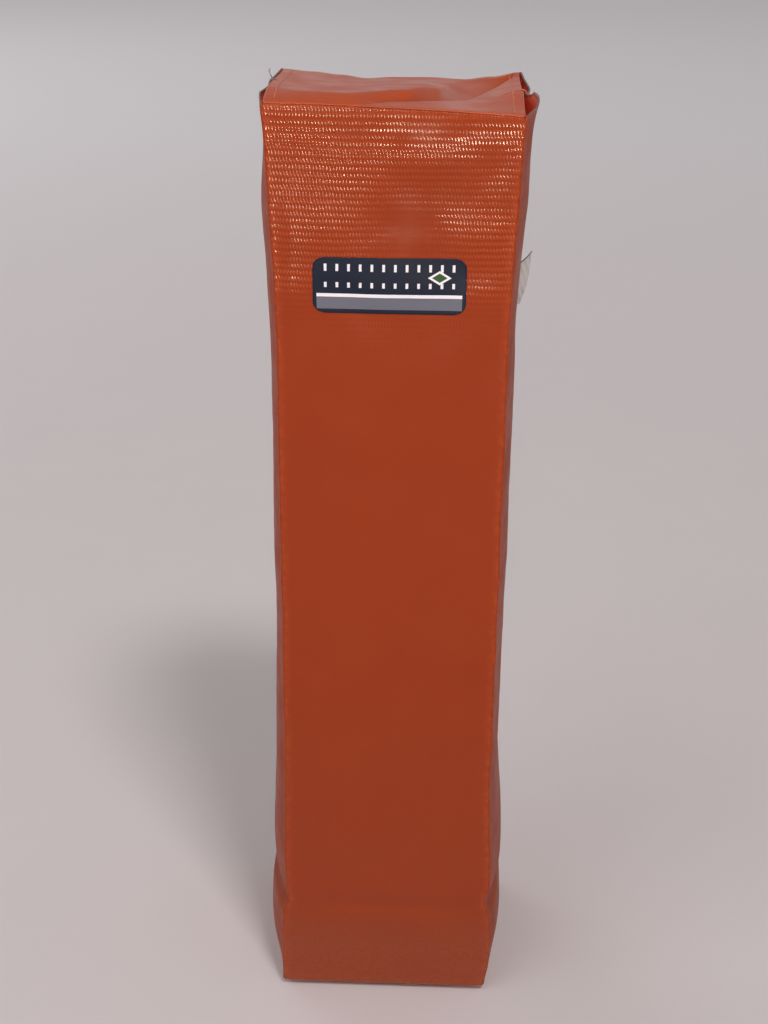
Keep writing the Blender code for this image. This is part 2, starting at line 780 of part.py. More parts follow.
def tack_route(tree, side):
    """Route of a tack: a bar on the top panel, over both edges and down the side panel."""
    out = OUT[side]
    reach = corner_half_depth(HEIGHT) - SEAM_INSET
    y = lerp(-reach, reach, TACK_SHARE)
    edge = top_edge(side, TACK_SHARE)
    lift = CLEARANCE + THREAD_RADIUS
    inner = edge - out * TACK_BARS[side]
    slant = TACK_BAR_SLANTS[side]
    points = []
    outer = side_reach(side, TACK_SHARE, HEIGHT)
    raw = HEIGHT + raw_edge_lift(side, TACK_SHARE)
    for share in TACK_BAR_SHARES:
        point = on_top(tree, lerp(inner, edge, share), y - slant * (1 - share))
        point.z += CLEARANCE + 2 * THREAD_RADIUS
        points.append(point)
    points.append(Vector((out * (outer - CLOTH), y, raw + 2 * lift)))
    points.append(Vector((out * (outer + lift), y, raw + lift)))
    points.append(Vector((out * (outer + 2 * lift), y, raw - lift)))
    points.append(Vector((out * (outer + 2 * lift), y, raw - TACK_DROP)))
    return points


def add_tacks(tree):
    """Tacks that close the two sides of the top; the left one has a loose tail."""
    add_thread("tack_thread_right", tack_route(tree, "right"), ORANGE_THREAD)
    route = tack_route(tree, "left")
    start = route[0]
    tail = []
    for share in TAIL_SHARES:
        lean = TAIL_LEAN * math.sin(math.pi * share / 2)
        tail.append(start + Vector((-lean, 0, TAIL_LENGTH * share)))
    add_thread("tack_thread_left", tail + route, PALE_THREAD)


def add_decal(tree):
    """Film patch on the front panel, a rounded rectangle that follows the cloth."""
    middle = Vector((DECAL_OFFSET, 0, DECAL_CENTRE_SHARE * HEIGHT))

    def on_front(x, z):
        hit = tree.ray_cast(Vector((x, -DEPTH, z)), Vector((0, 1, 0)))[0]
        return Vector((x, hit.y - CLEARANCE - DECAL_FILM / 2, z))

    mesh = bmesh.new()
    centre = mesh.verts.new(on_front(middle.x, middle.z))
    inner = None
    power = 2 / DECAL_ROUND_POWER
    for share in DECAL_RING_SHARES:
        ring = []
        for k in range(DECAL_CORNERS):
            angle = 2 * math.pi * (k + 1 / 2) / DECAL_CORNERS
            wide = math.copysign(abs(math.cos(angle)) ** power, math.cos(angle))
            tall = math.copysign(abs(math.sin(angle)) ** power, math.sin(angle))
            x = middle.x + share * wide * DECAL_WIDTH / 2
            ring.append(mesh.verts.new(on_front(x, middle.z + share * tall * DECAL_HEIGHT / 2)))
        for k in range(DECAL_CORNERS):
            after = (k + 1) % DECAL_CORNERS
            if inner is None:
                mesh.faces.new([centre, ring[k], ring[after]])
            else:
                mesh.faces.new([inner[k], ring[k], ring[after], inner[after]])
        inner = ring
    data = bpy.data.meshes.new("front_decal")
    mesh.to_mesh(data)
    mesh.free()
    obj = add_object("front_decal", data, DECAL_NAVY)
    film = obj.modifiers.new("film", "SOLIDIFY")
    film.thickness = DECAL_FILM
    film.offset = 0
    return obj


def label_hinge():
    """Line between the folds of the rear right seam that the label swings about."""
    z = LABEL_CENTRE_SHARE * HEIGHT
    x = corner_half_width("right", "back", z) - LABEL_SEAM_INSET
    return Vector((x, corner_half_depth(z) - LABEL_SEAM_INSET, z))


def add_label():
    """Satin label: sewn in along one upright edge, with its free edge curling away."""
    hinge = label_hinge()
    points = {}
    for j, along in enumerate(LABEL_ALONG_SHARES):
        for i, across in enumerate(LABEL_ACROSS_SHARES):
            angle = LABEL_TOP_ANGLE + LABEL_TWIST * (1 - along)
            reach = LABEL_WIDTH * across
            rise = LABEL_TOP_LIFT * across**2 * along
            z = LABEL_HEIGHT * (along - 1 / 2) + rise
            points[i, j] = Vector((reach * math.cos(angle), reach * math.sin(angle), z))
    obj = add_sheet("care_label", points, SATIN_WHITE, LABEL_CLOTH)
    obj.location = hinge
    return obj


def main():
    """Build the pylon."""
    clear_scene()
    front = add_face_panel("front_panel", "front", front_seam_lift)
    add_face_panel("back_panel", "back", back_seam_lift)
    add_side_panel("left_side_panel", "left")
    add_side_panel("right_side_panel", "right")
    top = add_top_panel()
    add_bottom_panel()
    add_foam()
    add_pouch_sheet("sand_pouch_lower", -1)
    add_pouch_sheet("sand_pouch_upper", 1)
    add_sand()
    add_pouch_thread()
    add_upright_threads()
    add_top_seam_threads()
    add_bottom_seam_thread()
    top_tree = surface_finder(top)
    add_hem_threads(top_tree)
    add_tacks(top_tree)
    add_decal(surface_finder(front))
    add_label()


main()
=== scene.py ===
"""Looks of the football end zone pylon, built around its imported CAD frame.

Every cover panel is a fine cloth sheet with folded hems, puckered seams and an embossed
laminate; it stands for the plain sheet of the CAD. Metres, +Z up, front towards -Y.
"""

import logging
import math
from abc import ABC, abstractmethod
from dataclasses import dataclass, field
from enum import Enum
from functools import reduce
from typing import Iterable, Sequence

import bmesh
import bpy
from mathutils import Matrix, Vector, noise
from mathutils.bvhtree import BVHTree


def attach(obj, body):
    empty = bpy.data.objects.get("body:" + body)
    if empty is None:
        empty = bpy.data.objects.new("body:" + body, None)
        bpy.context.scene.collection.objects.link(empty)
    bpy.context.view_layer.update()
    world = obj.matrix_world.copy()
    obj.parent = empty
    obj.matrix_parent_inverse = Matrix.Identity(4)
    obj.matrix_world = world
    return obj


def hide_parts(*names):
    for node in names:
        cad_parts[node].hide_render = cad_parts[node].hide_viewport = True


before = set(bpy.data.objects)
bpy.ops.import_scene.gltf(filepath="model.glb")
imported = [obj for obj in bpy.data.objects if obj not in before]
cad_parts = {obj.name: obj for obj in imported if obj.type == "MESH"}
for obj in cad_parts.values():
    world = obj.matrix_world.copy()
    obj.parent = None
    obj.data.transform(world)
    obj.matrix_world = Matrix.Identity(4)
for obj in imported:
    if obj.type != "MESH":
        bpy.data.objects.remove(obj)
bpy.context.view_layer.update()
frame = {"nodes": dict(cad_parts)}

LOG = logging.getLogger("pylon")
MM = 0.001
IMAGE_HEIGHT = 1024
Point = tuple[float, float, float]
Pair = tuple[float, float]
Span = Pair
Table = Sequence[Pair]


class Side(Enum):
    """The two sides, with the sign of their outward direction along X."""

    LEFT = -1
    RIGHT = 1


class Face(Enum):
    """The front and the back, with the sign of their outward direction along Y."""

    FRONT = -1
    BACK = 1


class Layer(Enum):
    """The two cloths of the sand pouch, with the sign of their outward direction along Z."""

    LOWER = -1
    UPPER = 1


class Skin(Enum):
    """Material slots of a lined sheet."""

    OUTSIDE = 0
    CUT_EDGE = 1
    LINING = 2


class Projection(Enum):
    """Axes that carry a cloth's threads: across and along."""

    FRONT = ("X", "Z")
    SIDE = ("Y", "Z")
    TOP = ("X", "Y")


def clamp(share: float) -> float:
    """Hold a share between 0 and 1."""
    return min(max(share, 0.0), 1.0)


def lerp(low: float, high: float, share: float) -> float:
    """Give the value at a share of the way from low to high."""
    return low + (high - low) * share


def smooth(share: float) -> float:
    """Ease from 0 to 1 with level ends."""
    held = clamp(share)
    return held * held * (3 - 2 * held)


def within(value: float, span: Span) -> float:
    """Give how far a value has come along a span, held at the span's ends."""
    low, high = span
    return clamp((value - low) / (high - low))


def eased(value: float, span: Span) -> float:
    """Give how far a value has come along a span, with level ends."""
    return smooth(within(value, span))


def bell(distance: float, spread: float) -> float:
    """Give a rounded bump of height 1 at distance 0."""
    return math.exp(-((distance / spread) ** 2))


def crown(share: float, power: float = 2.6) -> float:
    """Give the swelling across a panel: 0 at both seams and 1 in the middle."""
    return 1 - abs(2 * clamp(share) - 1) ** power


def along_table(pairs: Table, share: float) -> float:
    """Read a table of (share, value) pairs, eased from one to the next.

    Args:
        pairs: The pairs in rising order of share.
        share: Where to read.

    Returns:
        The value there.
    """
    if share <= pairs[0][0]:
        return pairs[0][1]
    for (low, low_value), (high, high_value) in zip(pairs, pairs[1:]):
        if share <= high:
            return lerp(low_value, high_value, smooth((share - low) / (high - low)))
    return pairs[-1][1]


@dataclass(frozen=True)
class Wave:
    """Smooth unevenness of the cloth.

    Attributes:
        height: Height of the waves.
        length: Rough length of a wave.
        seed: Offset that tells one set of waves from another.
        squash: Waves along for each wave across.
    """

    TURN = 0.37

    height: float
    length: float
    seed: float = 0.0
    squash: float = 1.0

    def line(self, place: float, shift: float = 0.0) -> float:
        """Give the height at a place on a line."""
        seed = self.seed + shift
        return self.height * noise.noise(Vector((place / self.length, seed, seed * self.TURN)))

    def surface(self, across: float, along: float, shift: float = 0.0) -> float:
        """Give the height at a place on a surface."""
        turned = along * self.squash / self.length
        return self.height * noise.noise(Vector((across / self.length, turned, self.seed + shift)))


@dataclass(frozen=True)
class Cloth:
    """Cloth of the cover and the way that its edges are folded.

    Attributes:
        thickness: Thickness of the laminate.
        clearance: Gap between pieces that touch.
        hem: Width of the turned-in flap.
        fold_steps: Cloth stations round a fold.
        corner_share: Distance between the two folds of a seam, as a share of a folded edge.
        top_edge_inset: Distance of the top panel's side folds from the corner of the column.
    """

    thickness: float = 0.6 * MM
    clearance: float = 0.04 * MM
    hem: float = 8 * MM
    fold_steps: int = 7
    corner_share: float = 0.72
    top_edge_inset: float = 1.75 * MM

    @property
    def fold_radius(self) -> float:
        """Radius of the cloth's middle round a fold."""
        return (self.thickness + self.clearance) / 2

    @property
    def fold_thickness(self) -> float:
        """Thickness of the folded edge."""
        return 2 * self.thickness + self.clearance

    @property
    def seam_inset(self) -> float:
        """Distance of a fold's centre line from the corner of the column."""
        return self.fold_thickness * (0.5 + self.corner_share / math.sqrt(2))

    def fold(self, past: float) -> Pair:
        """Find a place round a fold.

        Args:
            past: Way past the fold's centre line, along the cloth.

        Returns:
            Slide beyond the centre line, and depth under the panel.
        """
        radius = self.fold_radius
        angle = past / radius
        if angle <= math.pi:
            return radius * math.sin(angle), radius * (1 - math.cos(angle))
        return math.pi * radius - past, 2 * radius

    def past(self, step: int, room: float) -> float:
        """Find the way past the fold's centre line at a hem station.

        Args:
            step: Station round the fold; the last one is the flap's edge.
            room: Room for the flap, up to the next corner.

        Returns:
            Way past the centre line, along the cloth.
        """
        if step <= self.fold_steps:
            return math.pi * self.fold_radius * step / self.fold_steps
        return math.pi * self.fold_radius + min(self.hem, room - self.clearance)


CLOTH = Cloth()


@dataclass(frozen=True)
class Dent:
    """A rounded swelling, or a dent where its height is below 0.

    Attributes:
        across: Middle of it, first coordinate.
        along: Middle of it, second coordinate.
        wide: Spread across.
        tall: Spread along.
        height: Height in the middle.
    """

    across: float
    along: float
    wide: float
    tall: float
    height: float

    def at(self, across: float, along: float) -> float:
        """Give its height at a place."""
        return self.height * bell(across - self.across, self.wide) * bell(along - self.along, self.tall)


def per(values: dict) -> dict:
    """Give a dataclass field that holds a value for each side, or for each upright seam."""
    return field(default_factory=lambda: values)


@dataclass(frozen=True)
class Form:
    """Outline of the column, with the same named values as the CAD, and its finer relief.

    A name that ends in shares holds shares of the way across or along a panel, and one that ends
    in span holds the two places between which something fades in.
    """

    height: float = 0.4572
    width: float = 0.1016
    depth: float = 0.1016
    base_rise: float = 0.003
    base_rise_reach: float = 0.012
    flare_start_share: float = 0.7655
    flare_power: float = 1.5
    top_flares: dict[tuple[Side, Face], float] = per({
        (Side.LEFT, Face.FRONT): 0.0047,
        (Side.RIGHT, Face.FRONT): 0.0036,
        (Side.LEFT, Face.BACK): 0.005,
        (Side.RIGHT, Face.BACK): 0.0042,
    })
    ear: float = 0.0006
    ear_height: float = 0.014
    shoulder: float = 0.0024
    shoulder_height: float = 0.02
    crease_height: float = 0.0545
    crease_depth: float = 0.0013
    crease_spread: float = 0.006
    foot_widening: float = 0.0036
    foot_widening_shares: dict[Side, Table] = per({
        Side.LEFT: ((0, 0.9), (0.55, 0.9), (0.88, 0.72), (1.02, -0.2), (1.2, 0.1), (1.45, 0.28), (2.4, 0)),
        Side.RIGHT: ((0, 0.3), (0.38, 0.85), (0.63, 1), (0.88, 0.65), (1.05, -0.1), (1.23, 0.6), (2.4, 0)),
    })
    seam_waves: tuple[Wave, ...] = (Wave(0.00038, 0.021), Wave(0.00016, 0.0062, 9.0))
    seam_fade: float = 0.012
    side_seed: float = 3.1
    face_seed: float = 5.7
    face_bulge: float = 0.0012
    face_reliefs: Pair = (0.0004, 0.001)
    face_relief_span: Span = (0.34, 0.4)
    face_waves: tuple[Wave, ...] = (Wave(1.0, 0.034, 20.0, 1.1), Wave(0.3, 0.013, 24.0))
    side_wave: Wave = Wave(0.0006, 0.045, 31.0, 0.8)
    pucker: Wave = Wave(0.0004, 0.0085)
    pucker_reach: float = 0.0075
    face_pucker_turn: float = 40.0
    side_pucker_turn: float = 4.0
    foot_fade: float = 0.02
    side_top_fade: float = 0.02
    side_bulges: dict[Side, float] = per({Side.LEFT: 0.0063, Side.RIGHT: 0.0046})
    foot_bulges: dict[Side, float] = per({Side.LEFT: 0.0026, Side.RIGHT: 0.0018})
    foot_bulge_height: float = 0.073
    foot_bulge_spreads: dict[Side, float] = per({Side.LEFT: 0.075, Side.RIGHT: 0.037})
    foot_opening_heights: dict[Side, float] = per({Side.LEFT: 0.023, Side.RIGHT: 0.029})
    top_closing_height: float = 0.05
    front_seam_lifts: Pair = (0.0034, -0.0006)
    front_seam_crown: float = 0.0008
    front_seam_wave: Wave = Wave(0.00012, 0.006, 11.0)
    front_seam_flatness: int = 6
    back_seam_lift: float = 0.0002
    back_seam_sag: float = 0.0037
    back_seam_sag_shares: Table = (
        (0, 0), (0.12, 0.28), (0.24, 0.6), (0.35, 1), (0.47, 0.8),
        (0.62, 0.75), (0.77, 0.94), (0.89, 0.55), (1, 0),
    )
    seam_lift_reach: float = 0.06
    crest_height: float = 0.0036
    crest_line_shares: Table = ((0, 0.22), (0.15, 0.14), (0.3, 0.12), (0.53, 0.25), (0.66, 0.47), (0.76, 0.9))
    crest_fade_span: Span = (0.55, 0.8)
    crest_roundness: float = 1.35
    crest_spread_span: Span = (0.0, 0.4)
    hem_crest: float = 0.85
    top_wave: Wave = Wave(0.0003, 0.02, 44.0)
    top_front_fade_share: float = 0.032
    top_back_fade_share: float = 0.08
    top_side_fade_share: float = 0.05
    tack_share: float = 0.48
    front_mouths: dict[Side, float] = per({Side.LEFT: 0.0017, Side.RIGHT: 0.0051})
    rear_mouths: dict[Side, float] = per({Side.LEFT: 0.0022, Side.RIGHT: 0.0038})
    mouth_rises: dict[Side, float] = per({Side.LEFT: -0.0012, Side.RIGHT: 0.0012})
    mouth_rise_lean: float = 1.7
    hem_rise: float = 0.0024
    hem_rise_shares: Pair = (0.42, 0.24)
    hem_rise_span: Span = (0.84, 1.0)
    mouth_height: float = 0.03
    raw_edge_drops: dict[tuple[Side, Face], float] = per({
        (Side.LEFT, Face.FRONT): 0.0014,
        (Side.LEFT, Face.BACK): 0.0022,
        (Side.RIGHT, Face.FRONT): 0.0004,
        (Side.RIGHT, Face.BACK): 0.003,
    })
    raw_edge_wave: Wave = Wave(0.0004, 0.0055, 7.0)
    raw_edge_flatness: int = 4
    lip_height: float = 0.0006
    lip_drop: float = 0.0008
    lip_start_span: Span = (0.34, 0.44)
    flap_span: Span = (0.34, 0.5)
    hollow: float = 0.0048
    hollow_span: Span = (0.36, 0.7)
    hollow_roundness: float = 1.3
    pleat_drop: float = 0.0009
    pleat_end_share: float = 0.96
    pleat_end_span: Span = (0.72, 0.78)
    least_slope_share: float = 0.05
    front_lip_shares: Table = ((0.36, 0.03), (0.6, 0.16), (0.96, 0.36))
    rear_lip_shares: Table = ((0.74, 0.24), (0.93, 0.8))
    front_dents: tuple[Dent, ...] = (
        Dent(-0.026, 0.405, 0.03, 0.021, 0.0015),
        Dent(-0.002, 0.4415, 0.018, 0.008, 0.0006),
        Dent(0.026, 0.4365, 0.018, 0.0085, 0.0006),
        Dent(0.043, 0.4385, 0.012, 0.0095, -0.001),
        Dent(0.034, 0.404, 0.016, 0.01, 0.0005),
        Dent(-0.046, 0.381, 0.012, 0.009, 0.0004),
        Dent(0.042, 0.38, 0.014, 0.009, 0.0005),
        Dent(0.0, 0.3, 0.04, 0.035, -0.0006),
        Dent(-0.02, 0.13, 0.04, 0.03, 0.0006),
    )
    pressed: tuple[Dent, ...] = (
        Dent(-0.026, 0.422, 0.026, 0.022, 0.5),
        Dent(0.012, 0.4475, 0.03, 0.007, -0.4),
        Dent(0.006, 0.408, 0.016, 0.014, -0.9),
        Dent(0.04, 0.405, 0.014, 0.01, 0.4),
        Dent(-0.044, 0.386, 0.012, 0.006, 0.5),
        Dent(0.044, 0.384, 0.012, 0.007, 0.5),
    )
    edge_fade: float = 0.009

    def seam_wiggle(self, side: Side, face: Face, z: float) -> float:
        """Give the unevenness of an upright seam, which both of its panels share.

        Args:
            side: Side of the seam.
            face: Front or back.
            z: Height.

        Returns:
            Distance outward.
        """
        seed = self.side_seed * side.value + self.face_seed * face.value
        fade = smooth((self.height - z) / self.seam_fade)
        return fade * sum(wave.line(z, seed) for wave in self.seam_waves)

    def corner_half_width(self, side: Side, face: Face, z: float) -> float:
        """Give the distance of an upright seam from the middle plane between the sides.

        Args:
            side: Side of the seam.
            face: Front or back.
            z: Height.

        Returns:
            Half width there.
        """
        spread = self.foot_widening * along_table(self.foot_widening_shares[side], z / self.crease_height)
        rise = clamp((z / self.height - self.flare_start_share) / (1 - self.flare_start_share))
        ear = self.ear * clamp((z - (self.height - self.ear_height)) / self.ear_height) ** 2
        flare = self.top_flares[side, face] * rise**self.flare_power
        return self.width / 2 + spread + flare + ear + self.seam_wiggle(side, face, z)

    def corner_half_depth(self, z: float) -> float:
        """Give the distance of the upright seams from the middle plane between front and back."""
        rise = clamp((z - (self.height - self.shoulder_height)) / self.shoulder_height)
        return self.depth / 2 - self.shoulder * rise**2

    def crease(self, z: float) -> float:
        """Give the depth of the crease between the sand pouch and the foam."""
        return self.crease_depth * bell(z - self.crease_height, self.crease_spread)

    def face_reach(self, face: Face, x: float, share: float, z: float) -> float:
        """Give the distance of the front or back panel's outer face from the middle plane.

        Args:
            face: Front or back.
            x: Place across.
            share: Share of the way across.
            z: Height.

        Returns:
            Distance, with the cloth's waves.
        """
        swell = self.face_bulge * smooth(z / self.crease_height) - self.crease(z)
        near = min(share, 1 - share) * self.width
        fade = smooth(near / self.edge_fade) * smooth((self.height - z) / self.seam_fade)
        fade *= smooth(z / self.foot_fade)
        height = lerp(*self.face_reliefs, eased(z, self.face_relief_span))
        relief = height * sum(wave.surface(x, z, face.value) for wave in self.face_waves)
        if face is Face.FRONT:
            relief += sum(dent.at(x, z) for dent in self.front_dents)
        seed = self.face_waves[0].seed + face.value + x * self.face_pucker_turn
        pucker = self.pucker.line(z, seed) * bell(near, self.pucker_reach)
        return self.corner_half_depth(z) + swell * crown(share) + fade * (relief + pucker)

    def side_reach(self, side: Side, share: float, z: float) -> float:
        """Give the distance of a side panel's outer face from the middle plane.

        Args:
            side: Which side.
            share: Share of the way from front to back.
            z: Height.

        Returns:
            Distance, with the cloth's waves and the open mouths.
        """
        front = self.corner_half_width(side, Face.FRONT, z)
        back = self.corner_half_width(side, Face.BACK, z)
        foot = self.foot_bulges[side] * bell(z - self.foot_bulge_height, self.foot_bulge_spreads[side])
        opening = smooth((z - self.base_rise) / self.foot_opening_heights[side])
        closing = 1 - smooth((z - (self.height - self.top_closing_height)) / self.top_closing_height)
        swell = (self.side_bulges[side] + foot) * opening * closing - self.crease(z)
        opened = self.mouth(side, share) * math.exp((z - self.height) / self.mouth_height)
        near = min(share, 1 - share) * self.depth
        relief = self.side_wave.surface(share * self.depth, z, side.value)
        seed = self.side_wave.seed + side.value + share * self.side_pucker_turn
        pucker = self.pucker.line(z, seed) * bell(near, self.pucker_reach)
        fade = smooth(near / self.edge_fade) * smooth((self.height - z) / self.side_top_fade)
        fade *= smooth(z / self.foot_fade)
        return lerp(front, back, share) + swell * crown(share) + opened + fade * (relief + pucker)

    def mouth(self, side: Side, share: float) -> float:
        """Give how far the raw top edge of a side panel stands open.

        Args:
            side: Which side.
            share: Share of the way from front to back.

        Returns:
            Distance outward.
        """
        if share <= self.tack_share:
            return self.front_mouths[side] * max(math.sin(math.pi * share / self.tack_share), 0.0)
        rear = (share - self.tack_share) / (1 - self.tack_share)
        return self.rear_mouths[side] * max(math.sin(math.pi * rear), 0.0)

    def raw_edge_lift(self, side: Side, share: float) -> float:
        """Give the height of a side panel's raw top edge over the nominal height.

        Args:
            side: Which side.
            share: Share of the way from front to back.

        Returns:
            Height, with the unevenness of a hand cut.
        """
        end = 0.0 if side is Side.LEFT else 1.0
        drops = [self.raw_edge_drops[side, face] for face in Face]
        drop = lerp(drops[0], drops[1], smooth(share))
        cut = self.raw_edge_wave.line(share * self.depth, side.value) * crown(share, self.raw_edge_flatness)
        front = clamp(share / self.tack_share) ** self.mouth_rise_lean
        cut += self.mouth_rises[side] * math.sin(math.pi * front)
        return self.top_lift(end, share) - drop * crown(share) + cut

    def seam_lift(self, face: Face, share: float) -> float:
        """Give the height of a top seam over the nominal height.

        Args:
            face: Front or back seam.
            share: Share of the way across.

        Returns:
            Height over nominal.
        """
        if face is Face.FRONT:
            uneven = self.front_seam_wave.line(share * self.width) * crown(share, self.front_seam_flatness)
            return lerp(*self.front_seam_lifts, share) + self.front_seam_crown * crown(share) + uneven
        return self.back_seam_lift - self.back_seam_sag * along_table(self.back_seam_sag_shares, share)

    def lip(self, line: Table, across: float, along: float) -> Pair:
        """Find a lip's line beside a place.

        Args:
            line: Route of the lip, as pairs of shares across and along.
            across: Share of the way across.
            along: Share of the way back.

        Returns:
            The lip's share of the way back there, and the distance behind the lip.
        """
        for (low, low_along), (high, high_along) in zip(line, line[1:]):
            if across <= high or high == line[-1][0]:
                steep = (high_along - low_along) / (high - low)
                middle = low_along + steep * (across - low)
                return middle, (along - middle) * self.depth / math.hypot(1.0, steep)
        return 1.0, -self.depth

    def sink(self, across: float, along: float, crest: float) -> float:
        """Give the depth behind the two pleats on the right, which each have a sharp rear lip.

        Args:
            across: Share of the way across.
            along: Share of the way back.
            crest: Share of the way back where the panel is level again.

        Returns:
            Depth under the panel's level.
        """
        front, past_front = self.lip(self.front_lip_shares, across, along)
        rear, past_rear = self.lip(self.rear_lip_shares, across, along)
        end = lerp(crest, self.pleat_end_share, eased(across, self.pleat_end_span))
        drop = self.hollow * within(across, self.hollow_span) ** self.hollow_roundness
        drop *= smooth(past_front / self.lip_drop)
        if past_front <= 0:
            return 0.0
        if across < self.rear_lip_shares[0][0]:
            return drop * (1 - clamp((along - front) / (end - front)))
        level = self.pleat_drop * smooth(past_front / self.lip_drop)
        if past_rear <= 0:
            return level
        slope = 1 - clamp((along - rear) / max(end - rear, self.least_slope_share))
        return lerp(level, drop, smooth(past_rear / self.lip_drop)) * slope

    def top_lift(self, across: float, along: float) -> float:
        """Give the height of the top panel's outer face over the nominal height.

        Args:
            across: Share of the way across.
            along: Share of the way back.

        Returns:
            Height over nominal, with folds and waves.
        """
        level = lerp(self.seam_lift(Face.FRONT, across), self.seam_lift(Face.BACK, across), along)
        crest = along_table(self.crest_line_shares, across)
        start = max(self.lip(self.front_lip_shares, across, along)[0], 0.0)
        start *= eased(across, self.lip_start_span)
        rise = 1 - (1 - clamp((along - start) / (crest - start))) ** self.crest_roundness
        climb = rise if along < crest else smooth((1 - along) / (1 - crest))
        climb *= 1 - eased(across, self.crest_fade_span)
        climb *= lerp(self.hem_crest, crown(across), eased(across, self.crest_spread_span))
        edges = smooth(min(along / self.top_front_fade_share, (1 - along) / self.top_back_fade_share))
        inner = smooth(min(across, 1 - across) / self.top_side_fade_share)
        folds = self.top_wave.surface(across * self.width, along * self.depth) * inner
        folds += self.lip_height * self.flap(across, along) - self.sink(across, along, crest)
        middle, spread = self.hem_rise_shares
        folds += self.hem_rise * bell(along - middle, spread) * eased(across, self.hem_rise_span)
        return level + self.crest_height * climb + folds * edges

    def flap(self, across: float, along: float) -> float:
        """Give how far a place has risen on the front pleat.

        Args:
            across: Share of the way across.
            along: Share of the way back.

        Returns:
            Share of the lip's height.
        """
        front, past = self.lip(self.front_lip_shares, across, along)
        if front <= 0:
            return 0.0
        risen = clamp(along / front) if past <= 0 else 1 - smooth(past / self.lip_drop)
        return risen * eased(across, self.flap_span)

    def base_lift(self, x: float, y: float) -> float:
        """Give the height of the bottom panel's outer face: flat, and raised along its edges.

        Args:
            x: Place across.
            y: Place back.

        Returns:
            Height over the ground.
        """
        left, right = (self.corner_half_width(side, Face.FRONT, self.base_rise) for side in Side)
        near = min(left + x, right - x, self.depth / 2 - abs(y))
        return self.base_rise * (1 - smooth(near / self.base_rise_reach))

    def lifted(self, z: float, lift: float) -> float:
        """Give the height of a row, moved with the seam above it near the top."""
        return z + lift * smooth((z - (self.height - self.seam_lift_reach)) / self.seam_lift_reach)


FORM = Form()


@dataclass(frozen=True)
class Vinyl:
    """Finish of the laminated cover cloth.

    Attributes:
        colour: Orange of the laminate.
        pale: Orange that shows along worn edges, and the painted highlight on the thread crests.
        deep: Darker orange of the random clouds, and of the painted shade in the hollows between threads.
        grey: Grey-brown of the frayed backing, and of a painted floor reflection near the ground.
        roughness: Roughness of the film.
        polish: How much less and how much more rough it is in places.
        pitch: Spacing of the upright threads, in millimetres.
        cycle: Height of two rows of cross threads, in millimetres.
        thread_relief: Height of the upright threads, in millimetres.
        row_relief: Height of the cross threads, in millimetres.
        gloss: Level of the film's reflections.
        glow: Share of the light that passes into and through the cloth.
        warp: Wandering of the rows, in millimetres.
        sway: Wandering of the upright threads, as a share of their spacing.
        grain: Height of the film's own grain, in millimetres.
        patchiness: Share of the deep orange in the darkest clouds.
        hollow: Share of the deep orange painted between the threads, as painted shade.
        crest: Share of the pale orange painted on the threads where they press through most, as a painted
            highlight.
        crest_power: Higher where only strongly pressed threads get the painted highlight.
    """

    colour: Point = (0.266, 0.0335, 0.0042)
    pale: Point = (0.42, 0.073, 0.018)
    deep: Point = (0.245, 0.029, 0.0042)
    grey: Point = (0.2, 0.092, 0.06)
    roughness: float = 0.155
    polish: Pair = (0.05, 0.12)
    pitch: float = 1.42
    cycle: float = 5.6
    thread_relief: float = 0.1
    row_relief: float = 0.1
    gloss: float = 0.25
    glow: float = 0.0
    warp: float = 0.7
    sway: float = 0.12
    grain: float = 0.02
    patchiness: float = 0.3
    hollow: float = 0.12
    crest: float = 0.65
    crest_power: float = 2.5


@dataclass(frozen=True)
class Plain:
    """Finish of a lesser piece.

    Attributes:
        colour: Main colour.
        second: Colour that varies it.
        roughness: Middle roughness.
        scale: Grain size as a noise scale, per metre.
        relief: Height of the grain, in millimetres.
        glow: Share of the light that passes into and through it.
        edge: Colour that it takes along a raw edge, if any.
        fray: Share of that colour at the edge itself.
    """

    colour: Point
    second: Point
    roughness: float
    scale: float
    relief: float
    glow: float = 0.0
    edge: Point | None = None
    fray: float = 0.85


@dataclass(frozen=True)
class Thread:
    """Finish of twisted sewing thread.

    Attributes:
        colour: Colour of the plies.
        shade: Colour between the plies.
        roughness: Roughness.
        sheen: Weight of the fuzz's sheen.
        scale: Plies as a wave scale, per metre.
        twist: Unevenness of the twist.
        relief: Height of the plies, in millimetres.
    """

    colour: Point
    shade: Point
    roughness: float = 0.65
    sheen: float = 0.3
    scale: float = 700.0
    twist: float = 2.0
    relief: float = 0.12


